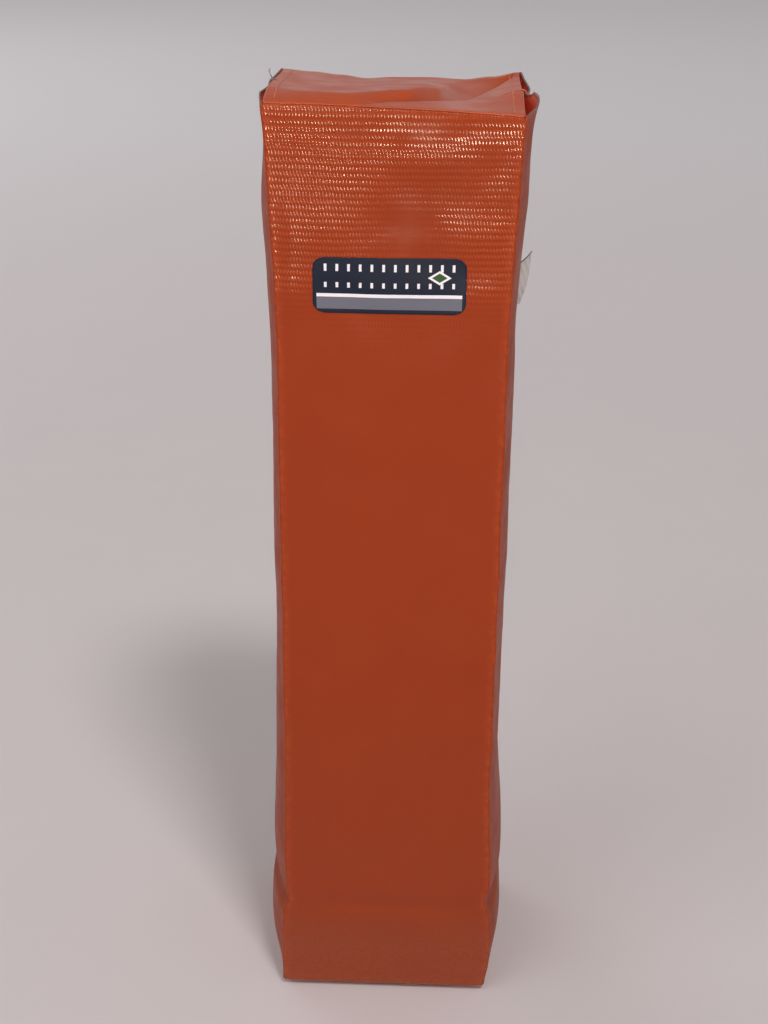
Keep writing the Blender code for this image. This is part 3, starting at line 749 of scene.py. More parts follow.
@dataclass(frozen=True)
class Print:
    """Design of the printed film; its places are in millimetres from its middle.

    Attributes:
        navy: Ground colour.
        white: Colour of the line, the marks and the lozenge's rim.
        grey: Colour of the band.
        green: Colour of the lozenge.
        band: Bottom and top of the grey band.
        line: Bottom and top of the pale line.
        rows: Bottom and top of each row of marks.
        pitch: Spacing of the marks.
        lead: Spacings that the marks are counted from, left of the middle.
        mark_share: Half width of a mark, as a share of their spacing.
        mark_blur: Softness of a mark's edge, as a share of their spacing.
        reach: Half length of the rows.
        lozenge: Middle of the lozenge.
        slope: Height of the lozenge for its width.
        rim: Half height of the lozenge with its rim.
        core: Half height of the lozenge inside its rim.
        half: Half width and half height of the ground's outline.
        margin: Width of the ground's plain margin.
        blur: Softness of an edge.
        gloss: Level of the film's reflections.
        grain: Height of the film's grain.
    """

    navy: Point = (0.007, 0.014, 0.032)
    white: Point = (0.76, 0.77, 0.86)
    grey: Point = (0.13, 0.14, 0.185)
    green: Point = (0.03, 0.09, 0.024)
    band: Span = (-10.6, -5.2)
    line: Span = (-5.2, -3.7)
    rows: tuple[Span, Span] = ((6.4, 9.6), (-0.9, 1.4))
    pitch: float = 5.0
    lead: int = 20
    mark_share: float = 0.1
    mark_blur: float = 0.03
    reach: float = 29.0
    lozenge: Pair = (21.5, 3.9)
    slope: float = 0.62
    rim: float = 3.05
    core: float = 2.0
    half: Pair = (32.0, 11.5)
    margin: float = 0.6
    blur: float = 0.15
    gloss: float = 0.16
    grain: float = 0.04


@dataclass(frozen=True)
class Satin:
    """Finish of the label.

    Attributes:
        light: Colour on its crests: white satin painted down to grey, as painted shade.
        shade: Colour in its folds, painted shade.
        scorched: Colour of its heat-cut edge.
        rib: Spacing of its cross threads, in millimetres.
        relief: Height of its cross threads, in millimetres.
        folds: Painted folds of shade across it, in radians per millimetre.
        lean: How far the folds lean along it.
        roughness: Roughness.
        sheen: Weight of the sheen.
        streak: How far its highlights stretch across the threads.
    """

    light: Point = (0.5, 0.51, 0.53)
    shade: Point = (0.34, 0.345, 0.36)
    scorched: Point = (0.05, 0.035, 0.03)
    rib: float = 0.4
    relief: float = 0.03
    folds: float = 2.1
    lean: float = 0.35
    roughness: float = 0.38
    sheen: float = 0.2
    streak: float = 0.3


class Nodes:
    """Short hand for building one material's node tree."""

    def __init__(self, name: str) -> None:
        """Start a material.

        Args:
            name: Name of the material.
        """
        self.material = bpy.data.materials.new(name)
        self.material.use_nodes = True
        self.tree = self.material.node_tree
        self.shader = self.tree.nodes["Principled BSDF"]

    def add(self, kind: str, **settings: object) -> bpy.types.Node:
        """Add a node.

        Args:
            kind: Blender's name for the node's type.
            settings: Properties to set on the node.

        Returns:
            The node.
        """
        node = self.tree.nodes.new(kind)
        for key, value in settings.items():
            setattr(node, key, value)
        return node

    def feed(self, socket: bpy.types.NodeSocket, value: object) -> None:
        """Set or link one input.

        Args:
            socket: The input.
            value: A number, a colour, or an output to link from.
        """
        if isinstance(value, bpy.types.NodeSocket):
            self.tree.links.new(value, socket)
        elif isinstance(value, (tuple, list)) and len(value) == 3 and socket.type == "RGBA":
            socket.default_value = (*value, 1.0)
        elif isinstance(value, (tuple, list)):
            socket.default_value = value[:3]
        else:
            socket.default_value = value

    def math(self, operation: str, *values: object) -> bpy.types.NodeSocket:
        """Add a Math node.

        Args:
            operation: Blender's name for the operation.
            values: Its inputs.

        Returns:
            Its output.
        """
        node = self.add("ShaderNodeMath", operation=operation)
        for socket, value in zip(node.inputs, values):
            self.feed(socket, value)
        return node.outputs[0]

    def mix(self, factor: object, low: object, high: object) -> bpy.types.NodeSocket:
        """Mix two colours.

        Args:
            factor: Share of the second colour.
            low: First colour.
            high: Second colour.

        Returns:
            The mixed colour.
        """
        node = self.add("ShaderNodeMix", data_type="RGBA")
        self.feed(node.inputs["Factor"], factor)
        self.feed(node.inputs[6], low)
        self.feed(node.inputs[7], high)
        return node.outputs[2]

    def ramp(
        self, value: object, low: float, high: float, start: float = 0.0, end: float = 1.0
    ) -> bpy.types.NodeSocket:
        """Map a range onto another, held at its ends.

        Args:
            value: The input.
            low: Input at the start.
            high: Input at the end.
            start: Output at low.
            end: Output at high.

        Returns:
            The mapped output.
        """
        node = self.add("ShaderNodeMapRange", interpolation_type="SMOOTHSTEP")
        for socket, number in zip(node.inputs, (value, low, high, start, end)):
            self.feed(socket, number)
        return node.outputs[0]

    def noise(self, place: object, scale: float, detail: float = 2.0) -> bpy.types.NodeSocket:
        """Add a noise texture.

        Args:
            place: Coordinates.
            scale: Scale of the noise, per metre.
            detail: Octaves of finer noise.

        Returns:
            The noise, between 0 and 1.
        """
        node = self.add("ShaderNodeTexNoise")
        self.feed(node.inputs["Vector"], place)
        self.feed(node.inputs["Scale"], scale)
        self.feed(node.inputs["Detail"], detail)
        return node.outputs[0]

    def place(self) -> bpy.types.NodeSocket:
        """Give the coordinates on the object, in metres."""
        return self.add("ShaderNodeTexCoord").outputs["Object"]

    def mark(self, name: str) -> bpy.types.NodeSocket:
        """Give a value that the mesh carries under a name."""
        return self.add("ShaderNodeAttribute", attribute_name=name).outputs["Fac"]

    def product(self, *values: object) -> bpy.types.NodeSocket:
        """Multiply two or more values."""
        return reduce(lambda low, high: self.math("MULTIPLY", low, high), values)

    def away(self, value: object, middle: float) -> bpy.types.NodeSocket:
        """Give the distance of a value from a middle."""
        return self.math("ABSOLUTE", self.math("SUBTRACT", value, middle))

    def axes(self, place: object, names: Sequence[str]) -> list[bpy.types.NodeSocket]:
        """Split coordinates and turn them into millimetres.

        Args:
            place: Coordinates, in metres.
            names: Axes to give.

        Returns:
            One output for each axis.
        """
        split = self.add("ShaderNodeSeparateXYZ")
        self.feed(split.inputs[0], place)
        return [self.product(split.outputs[name], 1 / MM) for name in names]

    def bump(self, height: object) -> None:
        """Give the shader a bump.

        Args:
            height: Height, in millimetres.
        """
        node = self.add("ShaderNodeBump")
        self.feed(node.inputs["Strength"], 1.0)
        self.feed(node.inputs["Distance"], MM)
        self.feed(node.inputs["Height"], height)
        self.feed(self.shader.inputs["Normal"], node.outputs[0])

    def set(self, **values: object) -> None:
        """Set or link inputs of the shader."""
        for name, value in values.items():
            self.feed(self.shader.inputs[name.replace("_", " ")], value)


SIDE_VINYL = Vinyl(grey=(0.234, 0.0936, 0.065), roughness=0.42, gloss=0.12, glow=0.5)
# The top panel's copy of the same vinyl, painted lighter as painted light on its upward face; the bottom
# panel shares it.
TOP_VINYL = Vinyl(
    colour=(0.442, 0.065, 0.0117),
    deep=(0.377, 0.052, 0.0104),
    roughness=0.33,
    thread_relief=0.03,
    row_relief=0.05,
    gloss=0.3,
)
BACKING = Plain(
    colour=(0.78, 0.169, 0.078),
    second=(0.65, 0.13, 0.0585),
    roughness=0.5,
    scale=900,
    relief=0.08,
    glow=1.0,
    edge=(0.16, 0.085, 0.072),
)
CUT_EDGE = Plain((0.125, 0.066, 0.058), (0.27, 0.165, 0.145), 0.85, 2600, 0.12)
ORANGE_THREAD = Thread((0.65, 0.169, 0.078), (0.468, 0.104, 0.0455))
PALE_THREAD = Thread((0.39, 0.325, 0.286), (0.156, 0.117, 0.104))
FOAM = Plain((0.625, 0.5875, 0.525), (0.375, 0.35, 0.3125), 0.95, 900, 0.4)
POUCH_CLOTH = Plain((0.5, 0.46, 0.39), (0.4, 0.36, 0.3), 0.85, 1500, 0.1)
SAND = Plain((0.5, 0.4, 0.26), (0.33, 0.25, 0.16), 0.95, 1300, 0.3)


class Finishes:
    """The materials of the pylon."""

    CLOTH_DEPTH = 0.001
    CLOTH_RADIUS = (1.0, 0.3, 0.15)
    BACKING_DEPTH = 0.003
    BACKING_RADIUS = (1.0, 0.4, 0.2)

    def __init__(self) -> None:
        """Make every material once."""
        self.front = self.vinyl("vinyl_front", Vinyl(), Projection.FRONT)
        self.side = self.vinyl("vinyl_side", SIDE_VINYL, Projection.SIDE)
        self.lining = self.plain("laminate_backing", BACKING)
        self.top = self.vinyl("vinyl_top", TOP_VINYL, Projection.TOP)
        self.cut = self.plain("cut_edge", CUT_EDGE)
        self.thread = self.twisted("thread_orange", ORANGE_THREAD)
        self.pale_thread = self.twisted("thread_pale", PALE_THREAD)
        self.foam = self.cells("foam_pale", FOAM)
        self.pouch = self.plain("pouch_cloth", POUCH_CLOTH)
        self.sand = self.cells("sand", SAND)
        self.patch = self.printed("printed_film", Print())
        self.satin = self.label("satin_label", Satin())

    @staticmethod
    def weave(
        nodes: Nodes, place: object, finish: Vinyl, projection: Projection
    ) -> tuple[bpy.types.NodeSocket, bpy.types.NodeSocket]:
        """Draw the threads that press through the film.

        Args:
            nodes: The material's node tree.
            place: Coordinates.
            finish: Spacing of the threads.
            projection: Axes that the threads follow.

        Returns:
            Height of the upright threads, 0 to 1, and of the cross threads, -1 to 1.
        """
        across, along = nodes.axes(place, projection.value)
        warp = nodes.product(nodes.math("SUBTRACT", nodes.noise(place, 70), 0.5), finish.warp)
        turn = nodes.math("DIVIDE", nodes.math("ADD", along, warp), finish.cycle)
        sway = nodes.product(nodes.math("SINE", nodes.product(turn, math.tau)), finish.sway)
        column = nodes.math("DIVIDE", across, finish.pitch)
        shifted = nodes.math("ADD", column, nodes.math("ADD", turn, sway))
        thread = nodes.math("ABSOLUTE", nodes.math("SINE", nodes.product(shifted, math.pi)))
        return thread, nodes.math("COSINE", nodes.product(turn, 2 * math.tau))

    @classmethod
    def vinyl(cls, name: str, finish: Vinyl, projection: Projection) -> bpy.types.Material:
        """Make laminated cloth whose threads press through a glossy film, with painted shade between the
        threads and painted highlights on their crests.

        Args:
            name: Name of the material.
            finish: Colours and sizes.
            projection: Axes that the threads follow.

        Returns:
            The material.
        """
        nodes = Nodes(name)
        place = nodes.place()
        press = nodes.mark("press")
        thread, row = cls.weave(nodes, place, finish, projection)
        rows = nodes.product(row, finish.row_relief / 2)
        height = nodes.math("ADD", nodes.product(thread, finish.thread_relief), rows)
        grain = nodes.product(nodes.noise(place, 900, 3.0), finish.grain)
        nodes.bump(nodes.math("MULTIPLY_ADD", height, press, grain))
        clouds = nodes.ramp(nodes.noise(place, 34, 3.0), 0.3, 0.7)
        colour = nodes.mix(nodes.product(clouds, finish.patchiness), finish.colour, finish.deep)
        # Painted shade: the hollows between the threads are painted deep orange.
        between = nodes.math("SUBTRACT", 1.0, thread)
        colour = nodes.mix(nodes.product(between, press, finish.hollow), colour, finish.deep)
        # Painted highlight: the crests of strongly pressed threads are painted pale.
        pressed = nodes.math("POWER", press, finish.crest_power)
        crest = nodes.product(thread, nodes.ramp(row, -0.8, 1.0), pressed, finish.crest)
        colour = nodes.mix(crest, colour, finish.pale)
        rubbed = nodes.ramp(nodes.noise(place, 300, 3.0), 0.35, 0.75, 0.1, 0.5)
        colour = nodes.mix(nodes.product(nodes.mark("wear"), rubbed), colour, finish.pale)
        # Grey of the frayed backing along the raw edges, and a painted floor reflection near the ground.
        grey_patches = nodes.ramp(nodes.noise(place, 600, 3.0), 0.3, 0.6, 0.6, 1.0)
        less, more = finish.polish
        worn = (finish.roughness - less, finish.roughness + more)
        nodes.set(
            Base_Color=nodes.mix(nodes.product(nodes.mark("grime"), grey_patches), colour, finish.grey),
            Roughness=nodes.ramp(nodes.noise(place, 55, 4.0), 0.25, 0.8, *worn),
            Specular_IOR_Level=finish.gloss,
            Subsurface_Weight=finish.glow,
            Subsurface_Radius=cls.CLOTH_RADIUS,
            Subsurface_Scale=cls.CLOTH_DEPTH,
        )
        return nodes.material

    @classmethod
    def plain(cls, name: str, finish: Plain) -> bpy.types.Material:
        """Make a finely grained matte finish.

        Args:
            name: Name of the material.
            finish: Colours and sizes.

        Returns:
            The material.
        """
        nodes = Nodes(name)
        grain = nodes.noise(nodes.place(), finish.scale, 3.0)
        nodes.bump(nodes.product(grain, finish.relief))
        colour = nodes.mix(nodes.ramp(grain, 0.35, 0.65), finish.colour, finish.second)
        if finish.edge:
            colour = nodes.mix(nodes.product(nodes.mark("grime"), finish.fray), colour, finish.edge)
        nodes.set(
            Base_Color=colour,
            Roughness=nodes.ramp(grain, 0.2, 0.8, finish.roughness - 0.08, finish.roughness + 0.05),
            Subsurface_Weight=finish.glow,
            Subsurface_Radius=cls.BACKING_RADIUS,
            Subsurface_Scale=cls.BACKING_DEPTH,
        )
        return nodes.material

    @staticmethod
    def cells(name: str, finish: Plain) -> bpy.types.Material:
        """Make open foam cells or grains, with painted shade in the hollow of each cell.

        Args:
            name: Name of the material.
            finish: Colours and sizes.

        Returns:
            The material.
        """
        nodes = Nodes(name)
        cell = nodes.add("ShaderNodeTexVoronoi")
        nodes.feed(cell.inputs["Vector"], nodes.place())
        nodes.feed(cell.inputs["Scale"], finish.scale)
        depth = nodes.ramp(cell.outputs["Distance"], 0.0, 0.6)
        nodes.bump(nodes.product(depth, finish.relief))
        # Painted shade: each cell's hollow takes the darker second colour.
        nodes.set(Base_Color=nodes.mix(depth, finish.second, finish.colour), Roughness=finish.roughness)
        return nodes.material

    @staticmethod
    def twisted(name: str, finish: Thread) -> bpy.types.Material:
        """Make twisted sewing thread.

        Args:
            name: Name of the material.
            finish: Colours and sizes.

        Returns:
            The material.
        """
        nodes = Nodes(name)
        wave = nodes.add("ShaderNodeTexWave", bands_direction="DIAGONAL")
        nodes.feed(wave.inputs["Vector"], nodes.place())
        nodes.feed(wave.inputs["Scale"], finish.scale)
        nodes.feed(wave.inputs["Distortion"], finish.twist)
        ply = wave.outputs["Fac"]
        nodes.bump(nodes.product(ply, finish.relief))
        nodes.set(
            Base_Color=nodes.mix(ply, finish.shade, finish.colour),
            Roughness=finish.roughness,
            Sheen_Weight=finish.sheen,
        )
        return nodes.material

    @staticmethod
    def printed(name: str, design: Print) -> bpy.types.Material:
        """Make a printed film with a plain field design: bands, yard marks and a lozenge.

        Args:
            name: Name of the material.
            design: Colours and places of the print.

        Returns:
            The material.
        """
        nodes = Nodes(name)
        place = nodes.place()
        x, z = nodes.axes(place, ("X", "Z"))
        x = nodes.math("SUBTRACT", x, Patch.offset / MM)
        z = nodes.math("SUBTRACT", z, Patch.centre / MM)

        def band(value: object, span: Span) -> bpy.types.NodeSocket:
            """Mark where a value lies in a span, with soft edges."""
            half, soft = (span[1] - span[0]) / 2, 0.4 * design.blur
            return nodes.ramp(nodes.away(value, sum(span) / 2), half + soft, half - soft)

        colour = nodes.mix(band(z, design.band), design.navy, design.grey)
        colour = nodes.mix(band(z, design.line), colour, design.white)
        shifted = nodes.math("ADD", x, design.lead * design.pitch)
        counted = nodes.math("DIVIDE", shifted, design.pitch)
        off_mark = nodes.away(nodes.math("FRACT", counted), 0.5)
        mark = nodes.ramp(off_mark, design.mark_share + design.mark_blur, design.mark_share)
        rows = nodes.math("MAXIMUM", *(band(z, row) for row in design.rows))
        inside = band(x, (-design.reach, design.reach))
        colour = nodes.mix(nodes.product(mark, rows, inside), colour, design.white)
        middle_x, middle_z = design.lozenge
        flat = nodes.product(nodes.away(x, middle_x), design.slope)
        lozenge = nodes.math("ADD", flat, nodes.away(z, middle_z))
        for size, tone in ((design.rim, design.white), (design.core, design.green)):
            colour = nodes.mix(nodes.ramp(lozenge, size + design.blur, size), colour, tone)
        past = (nodes.math("SUBTRACT", nodes.away(v, 0.0), half) for v, half in zip((x, z), design.half))
        outline = nodes.math("MAXIMUM", *past)
        rim = nodes.ramp(outline, -design.margin - design.blur, -design.margin)
        fine = nodes.noise(place, 1400, 2.0)
        nodes.bump(nodes.product(fine, design.grain))
        nodes.set(
            Base_Color=nodes.mix(rim, colour, design.navy),
            Roughness=nodes.ramp(fine, 0.3, 0.7, 0.36, 0.48),
            Specular_IOR_Level=design.gloss,
        )
        return nodes.material

    @staticmethod
    def label(name: str, finish: Satin) -> bpy.types.Material:
        """Make satin with fine cross threads, painted shade in folds and a scorched cut edge at its top.

        Args:
            name: Name of the material.
            finish: Colours and sizes.

        Returns:
            The material.
        """
        nodes = Nodes(name)
        place = nodes.place()
        across, height = nodes.axes(place, ("X", "Z"))
        rib = nodes.math("SINE", nodes.product(height, math.tau / finish.rib))
        nodes.bump(nodes.product(rib, finish.relief))
        leaning = nodes.math("MULTIPLY_ADD", height, finish.lean, across)
        folds = nodes.math("SINE", nodes.product(leaning, finish.folds))
        clouds = nodes.ramp(nodes.noise(place, 120, 1.0), 0.2, 0.8)
        # Painted shade: grey tones for a white satin, darker in the painted folds.
        tone = nodes.mix(nodes.product(nodes.ramp(folds, -0.9, 1.0), clouds), finish.light, finish.shade)
        nodes.set(
            Base_Color=nodes.mix(nodes.mark("wear"), tone, finish.scorched),
            Roughness=finish.roughness,
            Sheen_Weight=finish.sheen,
            Anisotropic=finish.streak,
        )
        return nodes.material


@dataclass(frozen=True)
class Spot:
    """A place on a panel's grid of cloth.

    Attributes:
        share: Share of the way across.
        row: Share of the way along.
        across_slide: Slide past the fold at a side edge.
        along_slide: Slide past the fold at an end edge.
        depth: Depth under the panel's outer face.
    """

    share: float
    row: float
    across_slide: float
    along_slide: float
    depth: float


@dataclass
class Panel(ABC):
    """A cover panel: a fine sheet of cloth with its edges turned inside."""

    name: str
    columns: int = 54
    row_count: int = 232
    dense_shares: Table = ()
    even_share: float = 0.44
    usual_press: float = 0.4
    wear_reach: float = 0.018
    end_wear: float = 4.0
    top_hem: bool = True
    flipped: bool = False

    def __post_init__(self) -> None:
        """Set the grid of cloth, and the size that the flaps of the hems share out."""
        even = [k / (self.columns - 1) for k in range(self.columns)]
        self.shares = [lerp((1 - math.cos(math.pi * k)) / 2, k, self.even_share) for k in even]
        self.rows = row_shares(self.row_count, self.dense_shares)
        self.width, self.length = self.size()

    @abstractmethod
    def size(self) -> Pair:
        """Give the width and length between its folds."""

    @abstractmethod
    def place(self, spot: Spot) -> Vector:
        """Find the cloth's middle at a place.

        Args:
            spot: Place on the grid.

        Returns:
            The point, in metres.
        """

    def across_room(self, row: float) -> float:
        """Give the room for a side hem's flap beside a row."""
        return self.length * min(row, 1 - row)

    def along_room(self, share: float) -> float:
        """Give the room for an end hem's flap beside a column."""
        return self.width * min(share, 1 - share)

    @staticmethod
    def stations(count: int, low_hem: bool, high_hem: bool) -> list[tuple[int, int]]:
        """List cloth stations as (index on the panel, hem step).

        Args:
            count: Stations on the panel itself.
            low_hem: Whether the low end is hemmed.
            high_hem: Whether the high end is hemmed.

        Returns:
            The stations; a hem step is negative at the low end.
        """
        steps = range(CLOTH.fold_steps + 1, 0, -1)
        low = [(0, -step) for step in steps] if low_hem else []
        high = [(count - 1, step) for step in reversed(steps)] if high_hem else []
        return low + [(index, 0) for index in range(count)] + high

    def build(self) -> bpy.types.Object:
        """Make the sheet.

        Returns:
            The sheet as a thick, closed mesh that carries its wear, its press, and the grey of its frayed
            backing and of a painted floor reflection.
        """
        columns = self.stations(len(self.shares), True, True)
        rows = self.stations(len(self.rows), True, self.top_hem)
        points: dict[tuple[int, int], tuple[Vector, float]] = {}
        presses, grimes = [], []
        for i, (column, across_step) in enumerate(columns):
            share = self.shares[column]
            for j, (line, along_step) in enumerate(rows):
                if across_step and along_step:
                    continue
                row = self.rows[line]
                room = self.across_room(row) if across_step else self.along_room(share)
                step = abs(across_step or along_step)
                if step > CLOTH.fold_steps and room <= 2 * CLOTH.clearance:
                    continue
                slide, depth = CLOTH.fold(CLOTH.past(step, room))
                spot = Spot(
                    share, row,
                    slide * ((across_step > 0) - (across_step < 0)),
                    slide * ((along_step > 0) - (along_step < 0)),
                    depth + CLOTH.thickness / 2,
                )
                points[i, j] = (self.place(spot), self.wear(share, row, step))
                presses.append(self.press(share, row))
                grimes.append(self.grime(row))
        return make_sheet(self.name, points, CLOTH.thickness, True, self.flipped, press=presses, grime=grimes)

    def grime(self, row: float) -> float:
        """Give how grey the cloth is from its frayed backing and from a painted floor reflection near the
        ground.
        """
        return 0.0

    def press(self, share: float, row: float) -> float:
        """Give how strongly the threads press through the film."""
        return self.usual_press

    def wear(self, share: float, row: float, step: int) -> float:
        """Give how rubbed the cloth is, most along its folded edges."""
        near = min(share, 1 - share, row * self.end_wear, (1 - row) * self.end_wear)
        return bell(near, self.wear_reach) if step <= CLOTH.fold_steps // 2 else 0.0


def make_sheet(
    name: str,
    points: dict[tuple[int, int], tuple[Vector, float]],
    thickness: float,
    lined: bool = False,
    flipped: bool = False,
    **marks: Sequence[float],
) -> bpy.types.Object:
    """Make a thick sheet from a grid of cloth points.

    Args:
        name: Name of the piece.
        points: Point and wear by column and row; a missing one leaves a notch.
        thickness: Thickness of the cloth.
        lined: Whether its cut edge and its inner side have finishes of their own.
        flipped: Whether the grid's columns and rows turn towards the inside.
        marks: Further values at each point, by the name of their attribute.

    Returns:
        The sheet.
    """
    index = {key: number for number, key in enumerate(points)}
    faces = []
    for i, j in points:
        corners = [(i, j), (i + 1, j), (i + 1, j + 1), (i, j + 1)]
        if all(corner in index for corner in corners):
            faces.append([index[corner] for corner in (reversed(corners) if flipped else corners)])
    data = bpy.data.meshes.new(name)
    data.from_pydata([point for point, _ in points.values()], [], faces)
    wear = data.attributes.new("wear", "FLOAT", "POINT")
    wear.data.foreach_set("value", [value for _, value in points.values()])
    for mark, values in marks.items():
        data.attributes.new(mark, "FLOAT", "POINT").data.foreach_set("value", values)
    obj = link(name, data)
    cloth = obj.modifiers.new("cloth", "SOLIDIFY")
    cloth.thickness = thickness
    cloth.offset = 0
    cloth.use_even_offset = True
    if lined:
        for _ in Skin:
            data.materials.append(None)
        cloth.material_offset_rim = Skin.CUT_EDGE.value
        cloth.material_offset = Skin.LINING.value
    apply_modifiers(obj)
    return obj


def link(name: str, data: bpy.types.Mesh) -> bpy.types.Object:
    """Add a mesh to the scene.

    Args:
        name: Name of the object.
        data: The mesh.

    Returns:
        The object, shaded smooth.
    """
    obj = bpy.data.objects.new(name, data)
    bpy.context.scene.collection.objects.link(obj)
    data.polygons.foreach_set("use_smooth", [True] * len(data.polygons))
    return obj


def apply_modifiers(obj: bpy.types.Object) -> None:
    """Turn an object's modifiers into its own mesh, and face it outward.

    Args:
        obj: The object.
    """
    bpy.context.view_layer.update()
    finished = bpy.data.meshes.new_from_object(obj.evaluated_get(bpy.context.evaluated_depsgraph_get()))
    obj.modifiers.clear()
    obj.data = finished
    mesh = bmesh.new()
    mesh.from_mesh(finished)
    bmesh.ops.recalc_face_normals(mesh, faces=mesh.faces)
    mesh.to_mesh(finished)
    mesh.free()


def finder(obj: bpy.types.Object) -> BVHTree:
    """Make a search tree of an object's surface."""
    points = [vertex.co.copy() for vertex in obj.data.vertices]
    return BVHTree.FromPolygons(points, [tuple(face.vertices) for face in obj.data.polygons])


ROW_CROWDING = 1.6
ROW_STEPS = 1000
# Painted floor reflection: strength and the height span over which each band fades out.
FLOOR_REFLECTION_BANDS = ((0.2, (0.025, 0.06)), (0.1, (0.0, 0.25)))


def row_shares(count: int, dense: Iterable[Pair] = ()) -> list[float]:
    """List rows, closer together round given places.

    Args:
        count: Rows in all.
        dense: Pairs of (share, spread) that get more rows.

    Returns:
        Shares from 0 to 1.
    """
    places = list(dense)

    def weight(share: float) -> float:
        """Give how closely the rows lie at a share."""
        return 1 + sum(ROW_CROWDING * bell(share - place, spread) for place, spread in places)

    weights = [weight(k / ROW_STEPS) for k in range(ROW_STEPS)]
    total = sum(weights)
    shares, running = [0.0], 0.0
    for k, width in enumerate(weights):
        target = total * len(shares) / (count - 1)
        while len(shares) < count - 1 and running + width >= target:
            shares.append((k + (target - running) / width) / ROW_STEPS)
            target = total * len(shares) / (count - 1)
        running += width
    return shares + [1.0]


def ground_grime(edge: float, height: float) -> float:
    """Give how grey an upright panel is painted near the ground, a painted reflection of the floor."""
    return sum(strength * (1 - eased(height - edge, span)) for strength, span in FLOOR_REFLECTION_BANDS)


@dataclass
class FacePanel(Panel):
    """Front or back panel, hemmed along all four edges."""

    face: Face = Face.FRONT
    dense_shares: Table = ((0.12, 0.04), (0.95, 0.05))
    presses: Pair = (0.09, 0.77)
    press_span: Span = (0.345, 0.405)
    low: float = FORM.base_rise + CLOTH.seam_inset
    high: float = FORM.height - CLOTH.seam_inset

    def __post_init__(self) -> None:
        """Set the grid, turned towards the face's outside."""
        super().__post_init__()
        self.flipped = self.face is Face.BACK

    def size(self) -> Pair:
        """Give the width and length between its folds."""
        return FORM.width - 2 * CLOTH.seam_inset, self.high - self.low

    def place(self, spot: Spot) -> Vector:
        """Find the cloth's middle at a place.

        Args:
            spot: Place on the grid.

        Returns:
            The point, in metres.
        """
        z = lerp(self.low, self.high, spot.row)
        z = FORM.lifted(z, FORM.seam_lift(self.face, spot.share)) + spot.along_slide
        left = CLOTH.seam_inset - FORM.corner_half_width(Side.LEFT, self.face, z)
        right = FORM.corner_half_width(Side.RIGHT, self.face, z) - CLOTH.seam_inset
        x = lerp(left, right, spot.share) + spot.across_slide
        share = (x - left) / (right - left)
        return Vector((x, self.face.value * (FORM.face_reach(self.face, x, share, z) - spot.depth), z))

    def grime(self, row: float) -> float:
        """Give how grey the cloth is painted near the ground, a painted reflection of the floor."""
        return ground_grime((1 - row) * self.length, FORM.height)

    def press(self, share: float, row: float) -> float:
        """Give how strongly the threads press through the film, most in patches near the top.

        Args:
            share: Share of the way across.
            row: Share of the way along.

        Returns:
            Share of the full relief.
        """
        x, z = (share - 0.5) * FORM.width, lerp(self.low, self.high, row)
        patches = sum(patch.at(x, z) for patch in FORM.pressed)
        return clamp(lerp(*self.presses, eased(z, self.press_span)) + patches)


@dataclass
class SidePanel(Panel):
    """Side panel: hems at the upright seams and the bottom, and a raw edge at the top."""

    side: Side = Side.LEFT
    dense_shares: Table = ((0.12, 0.04), (0.97, 0.05))
    raw_edge_band: float = 2.8 * MM
    raw_edge_gaps: tuple[float, ...] = (2.4 * MM, 2.0 * MM, 1.6 * MM, 1.2 * MM, 0.8 * MM, 0.4 * MM, 0.0)
    fray: float = 0.95
    fray_span: Span = (1.1 * MM, 2.0 * MM)
    flap_stop: float = 4 * MM
    low: float = FORM.base_rise + CLOTH.seam_inset
    top_hem: bool = False

    def __post_init__(self) -> None:
        """Set the grid, with close rows along the raw edge, turned towards the outside."""
        super().__post_init__()
        self.flipped = self.side is Side.LEFT
        self.rows = [row for row in self.rows if row < 1 - self.raw_edge_band / self.length]
        self.rows += [1 - gap / self.length for gap in self.raw_edge_gaps]

    def size(self) -> Pair:
        """Give the width and length between its folds."""
        return FORM.depth - 2 * CLOTH.seam_inset, FORM.height - self.low

    def grime(self, row: float) -> float:
        """Give how grey the cloth is: along the raw edge, where its backing frays, and near the ground, as a
        painted floor reflection.
        """
        edge = (1 - row) * self.length
        return max(self.fray * (1 - eased(edge, self.fray_span)), ground_grime(edge, FORM.height))

    def place(self, spot: Spot) -> Vector:
        """Find the cloth's middle at a place.

        Args:
            spot: Place on the grid.

        Returns:
            The point, in metres.
        """
        z = lerp(self.low, FORM.height, spot.row)
        z = FORM.lifted(z, FORM.raw_edge_lift(self.side, spot.share)) + spot.along_slide
        reach = FORM.corner_half_depth(z) - CLOTH.seam_inset
        y = lerp(-reach, reach, spot.share) + spot.across_slide
        share = (y + reach) / (2 * reach)
        return Vector((self.side.value * (FORM.side_reach(self.side, share, z) - spot.depth), y, z))

    def across_room(self, row: float) -> float:
        """Give the room for a side hem's flap beside a row."""
        return min(self.length * row, self.length * (1 - row) - self.flap_stop)


